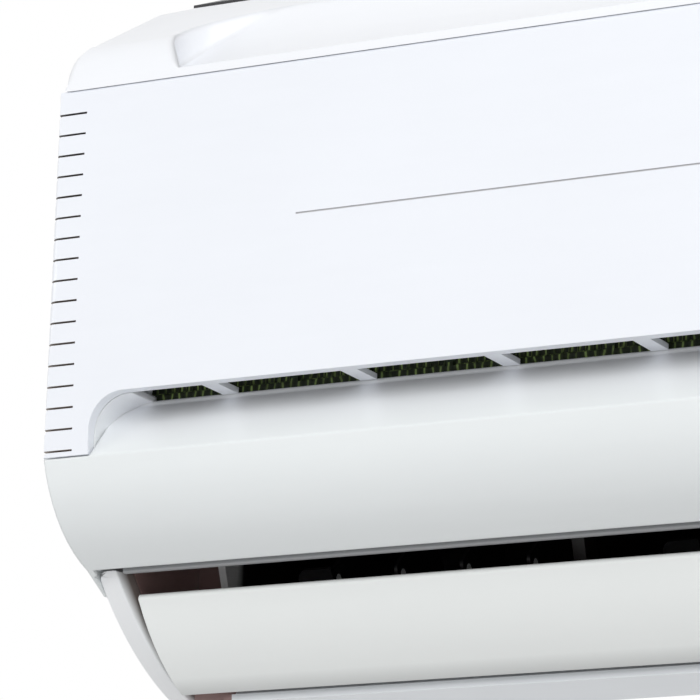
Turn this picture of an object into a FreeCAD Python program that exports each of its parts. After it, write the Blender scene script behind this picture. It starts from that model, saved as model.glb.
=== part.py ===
import FreeCAD, Part
import math
import os
import Sketcher
from FreeCAD import Placement, Rotation, Vector

# Wall-mounted fan coil unit, in millimetres and degrees.
# X runs to the right seen from the room, Y runs into the wall, Z is up.
# The origin is the middle of the wall plate's screw holes, on the wall.

# Driving dimensions: name, value, what it measures
DIMENSIONS = (
    ("unit_width", 830, "over the ends of the front panel"),
    ("unit_height", 296, "underside to top"),
    ("unit_depth", 200, "wall to the foremost point of the front panel"),
    ("plate_drop", 125, "top to the fixing centre"),
    ("shell_wall", 2.5, "moulded walls of casing and panel"),
    ("seam", 0.6, "gap between mouldings"),
    ("running_fit", 0.05, "radial clearance of pins and shafts"),
    ("end_inset", 1, "casing ends behind the panel ends"),
    ("rear_gap", 1, "casing to wall"),
    ("panel_crown", 1.5, "bow of the front panel"),
    ("panel_return", 20.8, "depth of the panel's ends"),
    ("panel_corner", 4, "round between panel front and ends"),
    ("bead_radius", 3, "rolled top edge of the panel, about the hinge"),
    ("hinge_pin_radius", 1.2, "panel hinge pins"),
    ("hinge_pin_length", 4, "panel hinge pins"),
    ("hinge_inset", 36, "hinge ears from the unit's end"),
    ("hinge_ear", 4, "thickness of a hinge ear"),
    ("hinge_eye", 2, "round eye of a hinge ear"),
    ("shoulder_drop", 73.8, "top to the casing edge above the panel"),
    ("shoulder_back", 0.4, "front to the casing edge above the panel"),
    ("shoulder_bevel", 1.5, "bevel under that edge"),
    ("crease_drop", 52.4, "top to the end of the round shoulder"),
    ("crease_back", 15, "front to the end of the round shoulder"),
    ("shoulder_mid_drop", 61, "top to the middle of the round shoulder"),
    ("shoulder_mid_back", 4.4, "front to the middle of the round shoulder"),
    ("slope_drop", 25.1, "top to the bend in the sloping roof"),
    ("slope_back", 61.2, "front to the bend in the sloping roof"),
    ("roof_back", 120, "front to the flat roof"),
    ("end_round", 5, "rounded ends of shoulder and roof"),
    ("scoop_inset", 43.2, "widest part of the scoop from the unit's end"),
    ("scoop_mid_back", 15, "front to the widest part of the scoop"),
    ("scoop_front_inset", 53.5, "front corners of the scoop from the unit's end"),
    ("scoop_turn_inset", 48.5, "rear turn of the scoop's edge from the unit's end"),
    ("scoop_turn_back", 28.5, "front to that turn"),
    ("scoop_bend_inset", 64, "middle of the scoop's rear corners from the unit's end"),
    ("scoop_bend_back", 37, "front to the middle of those corners"),
    ("scoop_corner_inset", 84, "straight rear edge of the scoop from the unit's end"),
    ("scoop_back", 40, "front to the rear edge of the scoop"),
    ("scoop_edge", 1.5, "casing edge left below the scoop"),
    ("scoop_sag", 4, "hollow of the scoop past its chord"),
    ("bulge_level", 77.8, "underside to the top edge of the bulge"),
    ("bulge_mid_level", 56, "underside to the middle of the bulge's round"),
    ("bulge_mid_back", 12.8, "front to the middle of the bulge's round"),
    ("lip_level", 42.4, "underside to the outlet lip"),
    ("lip_back", 34.2, "front to the outlet lip"),
    ("tail_level", 35, "underside to the lower edge of the casing ends"),
    ("tail_back", 47, "front to the lower corner of the casing ends"),
    ("tail_wall", 1.2, "casing ends where they lap the cheeks"),
    ("rail_inset", 15, "outlet rail from the unit's end"),
    ("rail_drop", 1.2, "outlet rail below the outlet lip"),
    ("rail_round", 0.8, "lower front edge of the outlet rail"),
    ("alcove_back", 20.4, "front to the rear wall of the intake alcove"),
    ("alcove_base", 100.2, "underside to the foot of that wall"),
    ("alcove_top", 101.9, "underside to the top of that wall"),
    ("notch_inset", 20, "panel notch from the unit's end"),
    ("notch_level", 101.5, "underside to the top of the panel notch"),
    ("notch_round", 14, "corners of the panel notch"),
    ("notch_rim", 4, "depth of the rim round the notch"),
    ("rim_wall", 2, "rim of the notch"),
    ("divider_inset", 68.7, "first intake divider from the unit's end"),
    ("divider_width", 6.6, "intake divider"),
    ("divider_height", 2.2, "intake divider"),
    ("rib_slot", 0.7, "height of a slot"),
    ("rib_reach", 13, "how far a slot runs on to the front"),
    ("rib_rear", 2.8, "uncut rear edge of the panel's ends"),
    ("rib_bevel", 2, "bevel at the outer end of a slot"),
    ("rib_low", 80.2, "underside to the lowest slot"),
    ("rib_end", 7.66, "highest slot below the panel's hinge"),
    ("groove_inset", 105.4, "decor groove from the unit's end"),
    ("groove_drop", 135, "top to the decor groove"),
    ("groove_width", 0.6, "decor groove"),
    ("groove_depth", 0.5, "decor groove"),
    ("window_side", 33, "opening behind the panel from the unit's end"),
    ("window_drop", 92, "top to the opening's upper edge"),
    ("cheek_width", 12, "casing end to the inner side of a cheek"),
    ("cheek_face", 8, "flat front of a cheek"),
    ("cheek_bevel", 8.6, "how far the bevel beside that front runs back"),
    ("cheek_nose", 1.5, "edge behind that bevel"),
    ("cheek_round", 4, "upper outer corner of a cheek"),
    ("cheek_top_back", 38.6, "front to the cheek's upper edge"),
    ("cheek_knee_back", 64.2, "front to the cheek's lower knee"),
    ("cheek_knee_level", 19.4, "underside to the cheek's lower knee"),
    ("cheek_foot_back", 106, "front to the cheek's foot"),
    ("cheek_rear_back", 150, "front to the rear of a cheek"),
    ("flap_inset", 14.4, "flap from the unit's end"),
    ("flap_top_back", 49.7, "front to the flap's upper edge"),
    ("flap_top_level", 33.1, "underside to the flap's upper edge"),
    ("flap_mid_back", 65.4, "front to the flap's middle"),
    ("flap_mid_level", 15.4, "underside to the flap's middle"),
    ("flap_foot_back", 84, "front to the flap's lower edge"),
    ("flap_foot_level", 3, "underside to the flap's lower edge"),
    ("flap_wall", 3.2, "flap thickness"),
    ("flap_axis_back", 80, "front to the flap's axis"),
    ("flap_axis_level", 32.7, "underside to the flap's axis"),
    ("flap_pin_radius", 3, "flap pins"),
    ("flap_pin_length", 8, "flap pin in the left cheek"),
    ("flap_drive_inset", 38, "driven arm from the right end"),
    ("flap_shaft_radius", 2.5, "flap motor shaft"),
    ("flap_motor_radius", 12, "flap motor"),
    ("flap_arm", 3, "thickness of a flap arm"),
    ("flap_boss", 6, "round eye of a flap arm"),
    ("duct_inset", 38, "outlet duct from the left end"),
    ("duct_wall", 3, "scroll and ends of the duct"),
    ("floor_front_back", 90, "front to the lower edge of the duct"),
    ("floor_front_level", 3, "underside to the lower edge of the duct"),
    ("floor_angle", 43, "slope of the duct's floor"),
    ("scroll_back", 168, "front to the rear of the scroll"),
    ("scroll_round", 60, "bend from the floor to the rear"),
    ("scroll_drop", 104, "top to the upper end of the scroll"),
    ("chassis_stand", 7.5, "wall to the rear face of the chassis"),
    ("strip_depth", 42, "underside strip of the chassis"),
    ("strip_inset", 30, "underside strip from the unit's end"),
    ("support_width", 5, "flap supports in the duct"),
    ("support_start", 6, "foot of a flap support from the duct's lower edge"),
    ("support_foot", 16, "foot of a flap support along the floor"),
    ("support_back", 60, "front to the upper end of a flap support"),
    ("support_level", 74, "underside to the upper end of a flap support"),
    ("duct_end_top", 172, "underside to the top of the duct ends"),
    ("duct_end_front", 62, "front to the upper front of the duct ends"),
    ("duct_end_bevel", 44, "bevelled rear corner of the duct ends"),
    ("closer_back", 96, "front to the end closers"),
    ("closer_level", 72, "underside to the top of the end closers"),
    ("vane_first", 44.5, "first vane of a bay from its left side"),
    ("vane_last", 23.3, "last vane of a bay from its right side"),
    ("vane_wall", 1.4, "vane thickness"),
    ("vane_height", 40.4, "vane above the duct's floor"),
    ("vane_front", 12, "vane ahead of its pin"),
    ("vane_rear", 22, "vane behind its pin"),
    ("vane_seat", 29, "vane pins from the lower edge of the duct"),
    ("vane_foot", 0.5, "vane above the floor"),
    ("vane_pin_radius", 2.4, "vane pins"),
    ("link_lift", 3.2, "tie bar above the duct's floor"),
    ("knob_width", 14, "finger tab on the first vane of a bay"),
    ("knob_rise", 1.6, "finger tab above the vane"),
    ("link_arm", 16, "link pin behind the vane's pin"),
    ("link_pin_radius", 1.2, "link pins"),
    ("link_width", 5, "tie bar"),
    ("link_wall", 2, "tie bar"),
    ("fan_back", 112, "front to the fan's axis"),
    ("fan_level", 128, "underside to the fan's axis"),
    ("fan_radius", 46, "fan wheel"),
    ("fan_gap", 7, "fan wheel to the duct's ends"),
    ("fan_disc", 2, "discs of the fan wheel"),
    ("blade_wall", 1, "fan blades"),
    ("blade_chord", 11, "radial depth of a fan blade"),
    ("blade_hook", 5, "forward lean of a fan blade"),
    ("blade_bow", 2.2, "bow of a fan blade"),
    ("shaft_radius", 4, "fan shaft"),
    ("hub_length", 12, "hubs of the fan wheel"),
    ("holder_wall", 3, "bearing holder"),
    ("holder_flange", 8, "rim of the bearing holder"),
    ("bush_radius", 11, "bearing bush"),
    ("bush_length", 12, "bearing bush"),
    ("motor_radius", 40, "fan motor"),
    ("motor_length", 70, "fan motor"),
    ("motor_boss", 8, "bosses at the motor's ends"),
    ("clamp_foot", 12, "feet of the motor clamp"),
    ("motor_gap", 14, "duct to fan motor"),
    ("motor_room", 16.5, "fan motor to control box"),
    ("coil_wall", 26, "depth of the coil blocks"),
    ("coil_front_back", 33, "front to the coil's face"),
    ("coil_foot_level", 89, "underside to the coil's foot"),
    ("coil_knee_drop", 120, "top to the bend of the coil"),
    ("coil_high_drop", 50, "top to the upper end of the upper coil block"),
    ("coil_high_lean", 40, "lean of the upper coil block"),
    ("coil_rear_length", 56, "rear coil block"),
    ("coil_rear_back", 118, "front to the rear coil block"),
    ("coil_rear_drop", 66, "top to the rear coil block"),
    ("coil_gap", 1, "between coil blocks"),
    ("plate_tab", 8, "tabs of the coil end plates"),
    ("coil_rear_lean", 42, "lean of the rear coil block"),
    ("coil_bridge", 34, "bridge between the coil end plates"),
    ("coil_plate", 1.5, "coil end plates"),
    ("tube_radius", 3.5, "coil tubes"),
    ("tube_bend", 10.5, "bend radius of the coil tubes"),
    ("filter_back", 23.2, "front to the filter's front face"),
    ("filter_inset", 28, "filter from the unit's end"),
    ("filter_round", 25, "bend of the filter"),
    ("filter_wall", 1.8, "filter frame"),
    ("mesh_wall", 0.5, "filter mesh"),
    ("filter_rib", 3, "ribs of the filter frame"),
    ("filter_bend_drop", 98, "top to the filter's bend"),
    ("filter_top_back", 86, "front to the filter's upper end"),
    ("filter_top_drop", 26, "top to the filter's upper end"),
    ("grille_nose", 90.5, "front to the grille's apron on the sloping roof"),
    ("grille_front", 121, "front to the top grille"),
    ("grille_rear", 186, "front to the rear of the top grille"),
    ("grille_lap", 4, "grille flange on the roof"),
    ("grille_flange", 1.2, "grille flange"),
    ("grille_inset", 4, "top grille from the unit's end"),
    ("grille_bar", 2.4, "bars of the top grille"),
    ("grille_pitch", 13, "bars of the top grille"),
    ("grille_height", 6, "bars of the top grille"),
    ("plate_width", 560, "wall plate"),
    ("plate_tall", 170, "wall plate"),
    ("plate_wall", 1.2, "wall plate"),
    ("plate_rib", 5, "how far the wall plate's ribs stand out"),
    ("plate_rib_rise", 58, "wall plate ribs, centre to centre"),
    ("plate_rib_height", 16, "wall plate ribs"),
    ("screw_span", 450, "wall screws, centre to centre across"),
    ("screw_rise", 100, "wall screws, centre to centre up"),
    ("screw_hole_radius", 2.75, "wall screws"),
    ("hook_width", 30, "hooks of the wall plate"),
    ("hook_rise", 12, "hooks of the wall plate"),
    ("hook_reach", 14, "how far the hooks stand out from the wall"),
    ("hook_span", 400, "hooks of the wall plate, centre to centre"),
    ("box_width", 72, "control box"),
    ("box_depth", 92, "control box"),
    ("box_height", 120, "control box"),
    ("box_gap", 8, "control box to the casing's end"),
    ("board_wall", 1.6, "circuit board"),
    ("board_lift", 10, "circuit board above the back of its box"),
    ("board_post", 3, "posts under the circuit board"),
    ("chip_height", 16, "largest part on the circuit board"),
    ("terminal_depth", 16, "terminal block"),
    ("box_wall", 2, "control box"),
    ("tray_nose_back", 73, "front to the tray's nose beside the fan"),
    ("tray_nose_level", 95, "underside to the tray's nose"),
    ("tray_nose", 3.5, "tray nose"),
    ("tray_lift", 1.5, "tray above the outlet lip"),
    ("tray_top", 68, "underside to the tray's front edge"),
    ("tray_ledge", 5, "ledge under the coil"),
    ("tray_dip", 7, "depth of the trough"),
    ("spigot_back", 44, "front to the drain spigot"),
    ("spigot_level", 72, "underside to the drain spigot"),
    ("spigot_radius", 8, "drain spigot"),
    ("spigot_bore", 6, "drain spigot"),
    ("spigot_length", 24, "drain spigot"),
    ("gas_pipe_radius", 4.76, "gas pipe"),
    ("liquid_pipe_radius", 3.18, "liquid pipe"),
    ("pipe_bend", 12, "bends of the pipes"),
    ("pipe_clear", 2, "between the pipes"),
    ("pipe_clamp", 24, "width of the pipe clamp"),
    ("pipe_entry", 97, "underside to the pipes at the coil"),
    ("nut_length", 16, "flare nuts"),
    ("screw_radius", 2, "screws of the motor clamp"),
    ("screw_length", 14, "screws of the motor clamp"),
    ("pipe_length", 330, "pipes in the rear channel"),
    ("pipe_level", 48, "underside to the pipes in the rear channel"),
    ("pipe_pitch", 14, "gas pipe to liquid pipe"),
    ("pipe_back", 180, "front to the pipes"),
)

BAYS = 4
VANES_PER_BAY = 4
FAN_BLADES = 30
FAN_SECTIONS = 4
DIVIDERS = 13
RIBS = 17
FILTER_COLUMNS = 6
BOARD_CHIPS = 3
TERMINALS = 4
NUT_SIDES = 6
WHOLE_TURN = 360
HALF_ROOT = math.sqrt(0.5)
NEAR = 1e-6

doc = FreeCAD.newDocument("FanCoilUnit")


class Size:
    """A length together with the spreadsheet expression that it comes from."""

    def __init__(self, value, text=None):
        self.value = value
        self.text = text or repr(value)

    def __add__(self, other):
        other = size(other)
        return Size(self.value + other.value, f"({self.text} + {other.text})")

    def __sub__(self, other):
        other = size(other)
        return Size(self.value - other.value, f"({self.text} - {other.text})")

    def __mul__(self, other):
        other = size(other)
        return Size(self.value * other.value, f"({self.text} * {other.text})")

    def __truediv__(self, other):
        other = size(other)
        return Size(self.value / other.value, f"({self.text} / {other.text})")

    def __radd__(self, other):
        return size(other) + self

    def __rsub__(self, other):
        return size(other) - self

    def __rmul__(self, other):
        return size(other) * self

    def __neg__(self):
        return Size(-self.value, f"(-1 * {self.text})")


def size(thing):
    return thing if isinstance(thing, Size) else Size(float(thing))


def sine(angle):
    return Size(math.sin(math.radians(angle.value)), f"sin({angle.text})")


def cosine(angle):
    return Size(math.cos(math.radians(angle.value)), f"cos({angle.text})")


def tangent(angle):
    return Size(math.tan(math.radians(angle.value)), f"tan({angle.text})")


def root(length):
    return Size(math.sqrt(length.value), f"sqrt({length.text})")


class Sheet:
    """The spreadsheet of driving dimensions, read as attributes."""

    def __init__(self):
        cells = doc.addObject("Spreadsheet::Sheet", "Sizes")
        for row, (name, value, note) in enumerate(DIMENSIONS, 1):
            cells.set(f"A{row}", name)
            cells.set(f"B{row}", str(value))
            cells.set(f"C{row}", note)
            cells.setAlias(f"B{row}", name)
            setattr(self, name, Size(float(value), f"Sizes.{name}"))
        doc.recompute()


s = Sheet()


# Places: from the left or right end, behind the front, above the underside, below the top
def from_left(distance):
    return distance - s.unit_width / 2


def from_right(distance):
    return s.unit_width / 2 - distance


def behind(distance):
    return distance + s.panel_crown - s.unit_depth


def above(distance):
    return distance - s.unit_height + s.plate_drop


def below_top(distance):
    return s.unit_height - distance


box_inset = s.end_inset + s.shell_wall + s.box_gap + s.box_width
motor_inset = box_inset + s.motor_room + s.motor_boss + s.motor_length + s.motor_gap
duct_width = s.unit_width - s.duct_inset - motor_inset
bay_width = duct_width / BAYS
vane_pitch = (bay_width - s.vane_first - s.vane_last) / (VANES_PER_BAY - 1)
duct_left = from_left(s.duct_inset)
duct_right = duct_left + duct_width
lid_level = below_top(s.shoulder_drop)
hinge_level = lid_level - s.seam / 2 - s.bead_radius
corner_level = s.floor_front_level + (s.scroll_back - s.floor_front_back) * tangent(s.floor_angle)
rib_pitch = (hinge_level - s.rib_end - s.rib_low) / (RIBS - 1)
scroll_level = below_top(s.scroll_drop)
coil_knee = below_top(s.coil_knee_drop)
coil_low_height = coil_knee - s.coil_gap - s.coil_foot_level
coil_high_level = coil_knee + s.coil_wall * sine(s.coil_high_lean)
coil_high_rise = (below_top(s.coil_high_drop) - coil_high_level) / cosine(s.coil_high_lean)
fan_y = behind(s.fan_back)
fan_z = above(s.fan_level)
casing_rear = behind(s.unit_depth - s.panel_crown - s.rear_gap)
back_wall_back = s.unit_depth - s.panel_crown - s.chassis_stand
cheek_outer = s.end_inset + s.tail_wall + s.seam / 2
cheek_inner = s.end_inset + s.cheek_width
cheek_top = s.lip_level + s.seam
clamp_reach = s.motor_radius + s.clamp_foot * 2 / 3


# Helpers that bind document objects to the spreadsheet
def bind(thing, prop, length):
    thing.setExpression(prop, size(length).text)


def place(thing, x, y, z):
    bind(thing, "Placement.Base.x", x)
    bind(thing, "Placement.Base.y", y)
    bind(thing, "Placement.Base.z", z)


def pin_point(sketch, curve, end, x, y):
    for kind, length in (("DistanceX", x), ("DistanceY", y)):
        rule = Sketcher.Constraint(kind, -1, 1, curve, end, length.value)
        index = sketch.addConstraint(rule)
        bind(sketch, f"Constraints[{index}]", length)


def corner_ends(corners, index):
    """Where the lines stop short of a rounded corner, and the centre of its round."""
    x, y, radius = corners[index]
    here = Vector(x.value, y.value, 0)
    if not radius:
        return here, here, None
    sides = []
    for near in (corners[index - 1], corners[(index + 1) % len(corners)]):
        sides.append((Vector(near[0].value, near[1].value, 0) - here).normalize())
    half = sides[0].getAngle(sides[1]) / 2
    reach = radius.value / math.tan(half)
    middle = (sides[0] + sides[1]).normalize() * (radius.value / math.sin(half))
    return here + sides[0] * reach, here + sides[1] * reach, here + middle


def draw(sketch, points, closed=True):
    """Draw lines through (x, y) or (x, y, radius) points, each dimensioned from the origin.

    A ("via", x, y) entry between two points makes the stretch between them an arc."""
    corners, arcs = [], {}
    for point in points:
        if point[0] == "via":
            arcs[len(corners) - 1] = (size(point[1]), size(point[2]))
        else:
            radius = size(point[2]) if len(point) == 3 else None
            corners.append((size(point[0]), size(point[1]), radius))
    count = len(corners)
    ends = [corner_ends(corners, i) for i in range(count)]
    lines = []
    for i in range(count if closed else count - 1):
        start, stop = ends[i][1], ends[(i + 1) % count][0]
        if i in arcs:
            via = Vector(arcs[i][0].value, arcs[i][1].value, 0)
            arc = Part.Arc(start, via, stop)
            lines.append(sketch.addGeometry(arc, False))
            mark = sketch.addGeometry(Part.Point(via), True)
            pin_point(sketch, mark, 1, *arcs[i])
            sketch.addConstraint(Sketcher.Constraint("PointOnObject", mark, 1, lines[-1]))
        else:
            lines.append(sketch.addGeometry(Part.LineSegment(start, stop), False))
    flipped = {i for i in arcs if starts_at_stop(sketch, lines[i], ends[i][1])}
    for i, (x, y, radius) in enumerate(corners):
        inner = closed or 0 < i < count - 1
        after = lines[i % len(lines)] if closed or i < count - 1 else None
        before = lines[i - 1] if closed or i > 0 else None
        after_end = 2 if i in flipped else 1
        before_end = 1 if (i - 1) % count in flipped else 2
        if not inner:
            pin_point(sketch, *((after, after_end) if i == 0 else (before, before_end)), x, y)
        elif radius is None:
            sketch.addConstraint(Sketcher.Constraint("Coincident", before, before_end, after, after_end))
            pin_point(sketch, after, after_end, x, y)
        else:
            round_corner(sketch, before, after, ends[i], (x, y, radius))


def starts_at_stop(sketch, curve, start):
    return sketch.getPoint(curve, 1).distanceToPoint(start) > NEAR


def round_corner(sketch, before, after, ends, corner):
    """Join two lines by a tangent arc whose sharp corner keeps its dimensions."""
    first, last, centre = ends
    x, y, radius = corner
    left_turn = (first - centre).cross(last - centre).z > 0
    start, stop = (first, last) if left_turn else (last, first)
    angles = [math.atan2(p.y - centre.y, p.x - centre.x) for p in (start, stop)]
    circle = Part.Circle(centre, Vector(0, 0, 1), radius.value)
    arc = sketch.addGeometry(Part.ArcOfCircle(circle, *angles), False)
    first_end, last_end = (1, 2) if left_turn else (2, 1)
    mark = sketch.addGeometry(Part.Point(Vector(x.value, y.value, 0)), True)
    sketch.addConstraint(Sketcher.Constraint("PointOnObject", mark, 1, before))
    sketch.addConstraint(Sketcher.Constraint("PointOnObject", mark, 1, after))
    pin_point(sketch, mark, 1, x, y)
    sketch.addConstraint(Sketcher.Constraint("Tangent", before, 2, arc, first_end))
    sketch.addConstraint(Sketcher.Constraint("Tangent", arc, last_end, after, 1))
    index = sketch.addConstraint(Sketcher.Constraint("Radius", arc, radius.value))
    bind(sketch, f"Constraints[{index}]", radius)


# Sketch planes: side view (Y, Z), plan (X, Y) and front view (X, Z)
VIEWS = {
    "side": (Rotation(Vector(1, 1, 1), 120), "Placement.Base.x", Vector(1, 0, 0)),
    "plan": (Rotation(), "Placement.Base.z", Vector(0, 0, 1)),
    "front": (Rotation(Vector(1, 0, 0), 90), "Placement.Base.y", Vector(0, 1, 0)),
}


def outline(name, view, at, points, closed=True):
    sketch = doc.addObject("Sketcher::SketchObject", name)
    sketch.Placement = Placement(Vector(), VIEWS[view][0])
    draw(sketch, points, closed)
    bind(sketch, VIEWS[view][1], at)
    return sketch


def extrude(name, base, view, length):
    solid = doc.addObject("Part::Extrusion", name)
    solid.Base = base
    solid.DirMode = "Custom"
    solid.Dir = VIEWS[view][2]
    solid.Solid = True
    bind(solid, "LengthFwd", length)
    return solid


def prism(name, view, at, length, points):
    return extrude(name, outline(name + "Outline", view, at, points), view, length)


def sheet_band(name, view, at, length, points, wall):
    """A bent sheet: an open outline thickened to one side and drawn out straight."""
    line = outline(name + "Line", view, at, points, closed=False)
    band = doc.addObject("Part::Offset2D", name + "Band")
    band.Source = line
    band.Mode = "Skin"
    band.Join = "Intersection"
    band.Fill = True
    bind(band, "Value", wall)
    return extrude(name, band, view, length)


def block(name, x, y, z, length, width, height):
    box = doc.addObject("Part::Box", name)
    place(box, x, y, z)
    bind(box, "Length", length)
    bind(box, "Width", width)
    bind(box, "Height", height)
    return box


AXES = {"X": Rotation(Vector(0, 1, 0), 90), "Y": Rotation(Vector(1, 0, 0), -90), "Z": Rotation()}


def rod(name, axis, x, y, z, radius, length):
    bar = doc.addObject("Part::Cylinder", name)
    bar.Placement = Placement(Vector(), AXES[axis])
    place(bar, x, y, z)
    bind(bar, "Radius", radius)
    bind(bar, "Height", length)
    return bar


def fuse(name, pieces):
    joined = doc.addObject("Part::MultiFuse", name)
    joined.Shapes = pieces
    joined.Refine = True
    return joined


def compound(name, pieces):
    group = doc.addObject("Part::Compound", name)
    group.Links = pieces
    return group


def cut(name, base, tools):
    result = doc.addObject("Part::Cut", name)
    result.Base = base
    result.Tool = tools[0] if len(tools) == 1 else compound(name + "Tools", tools)
    result.Refine = True
    return result


def common(name, first, second):
    result = doc.addObject("Part::Common", name)
    result.Base = first
    result.Tool = second
    return result


def mirrored(name, base):
    """The same piece at the other end of the unit."""
    copy = doc.addObject("Part::Mirroring", name)
    copy.Source = base
    copy.Normal = Vector(1, 0, 0)
    return copy


NODES = []


def node(thing, label):
    thing.Label = label
    NODES.append(thing)
    return thing


# Front casing: roof, shoulder with scoop, intake alcove, bulge and ends
def roof_points():
    """Side view of the casing's skin from the rear of the roof to the outlet lip."""
    return [
        (behind(back_wall_back), above(s.unit_height)),
        (behind(s.roof_back), above(s.unit_height)),
        (behind(s.slope_back), above(below_top(s.slope_drop))),
        (behind(s.crease_back), above(below_top(s.crease_drop))),
        ("via", behind(s.shoulder_mid_back), above(below_top(s.shoulder_mid_drop))),
        (behind(s.shoulder_back), above(lid_level)),
        (behind(s.alcove_back), above(lid_level)),
        (behind(s.alcove_back), above(s.alcove_base)),
        (behind(size(0)), above(s.bulge_level)),
        ("via", behind(s.bulge_mid_back), above(s.bulge_mid_level)),
        (behind(s.lip_back), above(s.lip_level)),
    ]


def scoop_tool(name, grow):
    """The hollow of the scoop, or with grow the wall that lies round it."""
    far = s.scoop_back
    slope = (s.crease_drop - s.slope_drop) / (s.slope_back - s.crease_back)
    far_z = below_top(s.crease_drop) + (far - s.crease_back) * slope
    front = s.shoulder_back
    edge = lid_level + s.scoop_edge
    half_y = (far + front) / 2 + s.scoop_sag + grow * HALF_ROOT
    half_z = (far_z + edge) / 2 - s.scoop_sag - grow * HALF_ROOT
    side = prism(name + "Side", "side", from_left(size(0)), s.unit_width, [
        (behind(front + grow), above(edge)),
        ("via", behind(half_y), above(half_z)),
        (behind(far + grow), above(far_z)),
        (behind(far + grow), above(s.unit_height)),
        (behind(-s.scoop_sag), above(s.unit_height)),
        (behind(-s.scoop_sag), above(edge)),
    ])
    slant = grow * HALF_ROOT
    edge_points = [
        (s.scoop_front_inset - grow, size(0)),
        ("via", s.scoop_inset - grow, s.scoop_mid_back),
        (s.scoop_turn_inset - slant, s.scoop_turn_back + slant),
        ("via", s.scoop_bend_inset - slant, s.scoop_bend_back + slant),
        (s.scoop_corner_inset, far + grow),
    ]
    left = [(*point[:-2], from_left(point[-2]), behind(point[-1])) for point in edge_points]
    right = [(*point[:-2], from_right(point[-2]), behind(point[-1])) for point in reversed(edge_points)]
    mouth = behind(-s.scoop_sag * 2)
    front_inset = s.scoop_front_inset - grow
    plan = prism(name + "Plan", "plan", above(size(0)), s.unit_height * 2,
                 [(from_left(front_inset), mouth)] + left + right + [(from_right(front_inset), mouth)])
    return common(name, side, plan)


def casing_end_points():
    """Side view of a whole end of the casing."""
    points = [(casing_rear, above(s.unit_height))] + roof_points()[1:]
    points.append((behind(s.tail_back), above(s.tail_level)))
    points.append((casing_rear, above(s.tail_level)))
    return points


def rounded_ends():
    """A block over the whole casing whose roof and shoulder fall away in a round at both ends."""
    front = behind(-s.end_round)
    half = s.end_round * (1 - HALF_ROOT)
    steps = [(size(0), s.end_round), (half, half), (s.end_round, size(0))]
    sections = []
    for side, out, order in (("Left", from_left, steps), ("Right", from_right, reversed(steps))):
        for i, (inset, fall) in enumerate(order):
            aside = fall * HALF_ROOT
            curve = [(*point[:-2], point[-2] + aside, point[-1] - fall) for point in roof_points()[1:6]]
            corners = [(front, curve[-1][1]), (front, above(size(0))), (casing_rear, above(size(0))),
                       (casing_rear, above(s.unit_height) - fall)]
            place_x = out(s.end_inset + inset)
            sections.append(outline(f"CasingRound{side}{i}", "side", place_x, curve + corners))
    envelope = doc.addObject("Part::Loft", "CasingRounds")
    envelope.Sections = sections
    envelope.Solid = True
    envelope.Ruled = True
    return envelope


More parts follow.
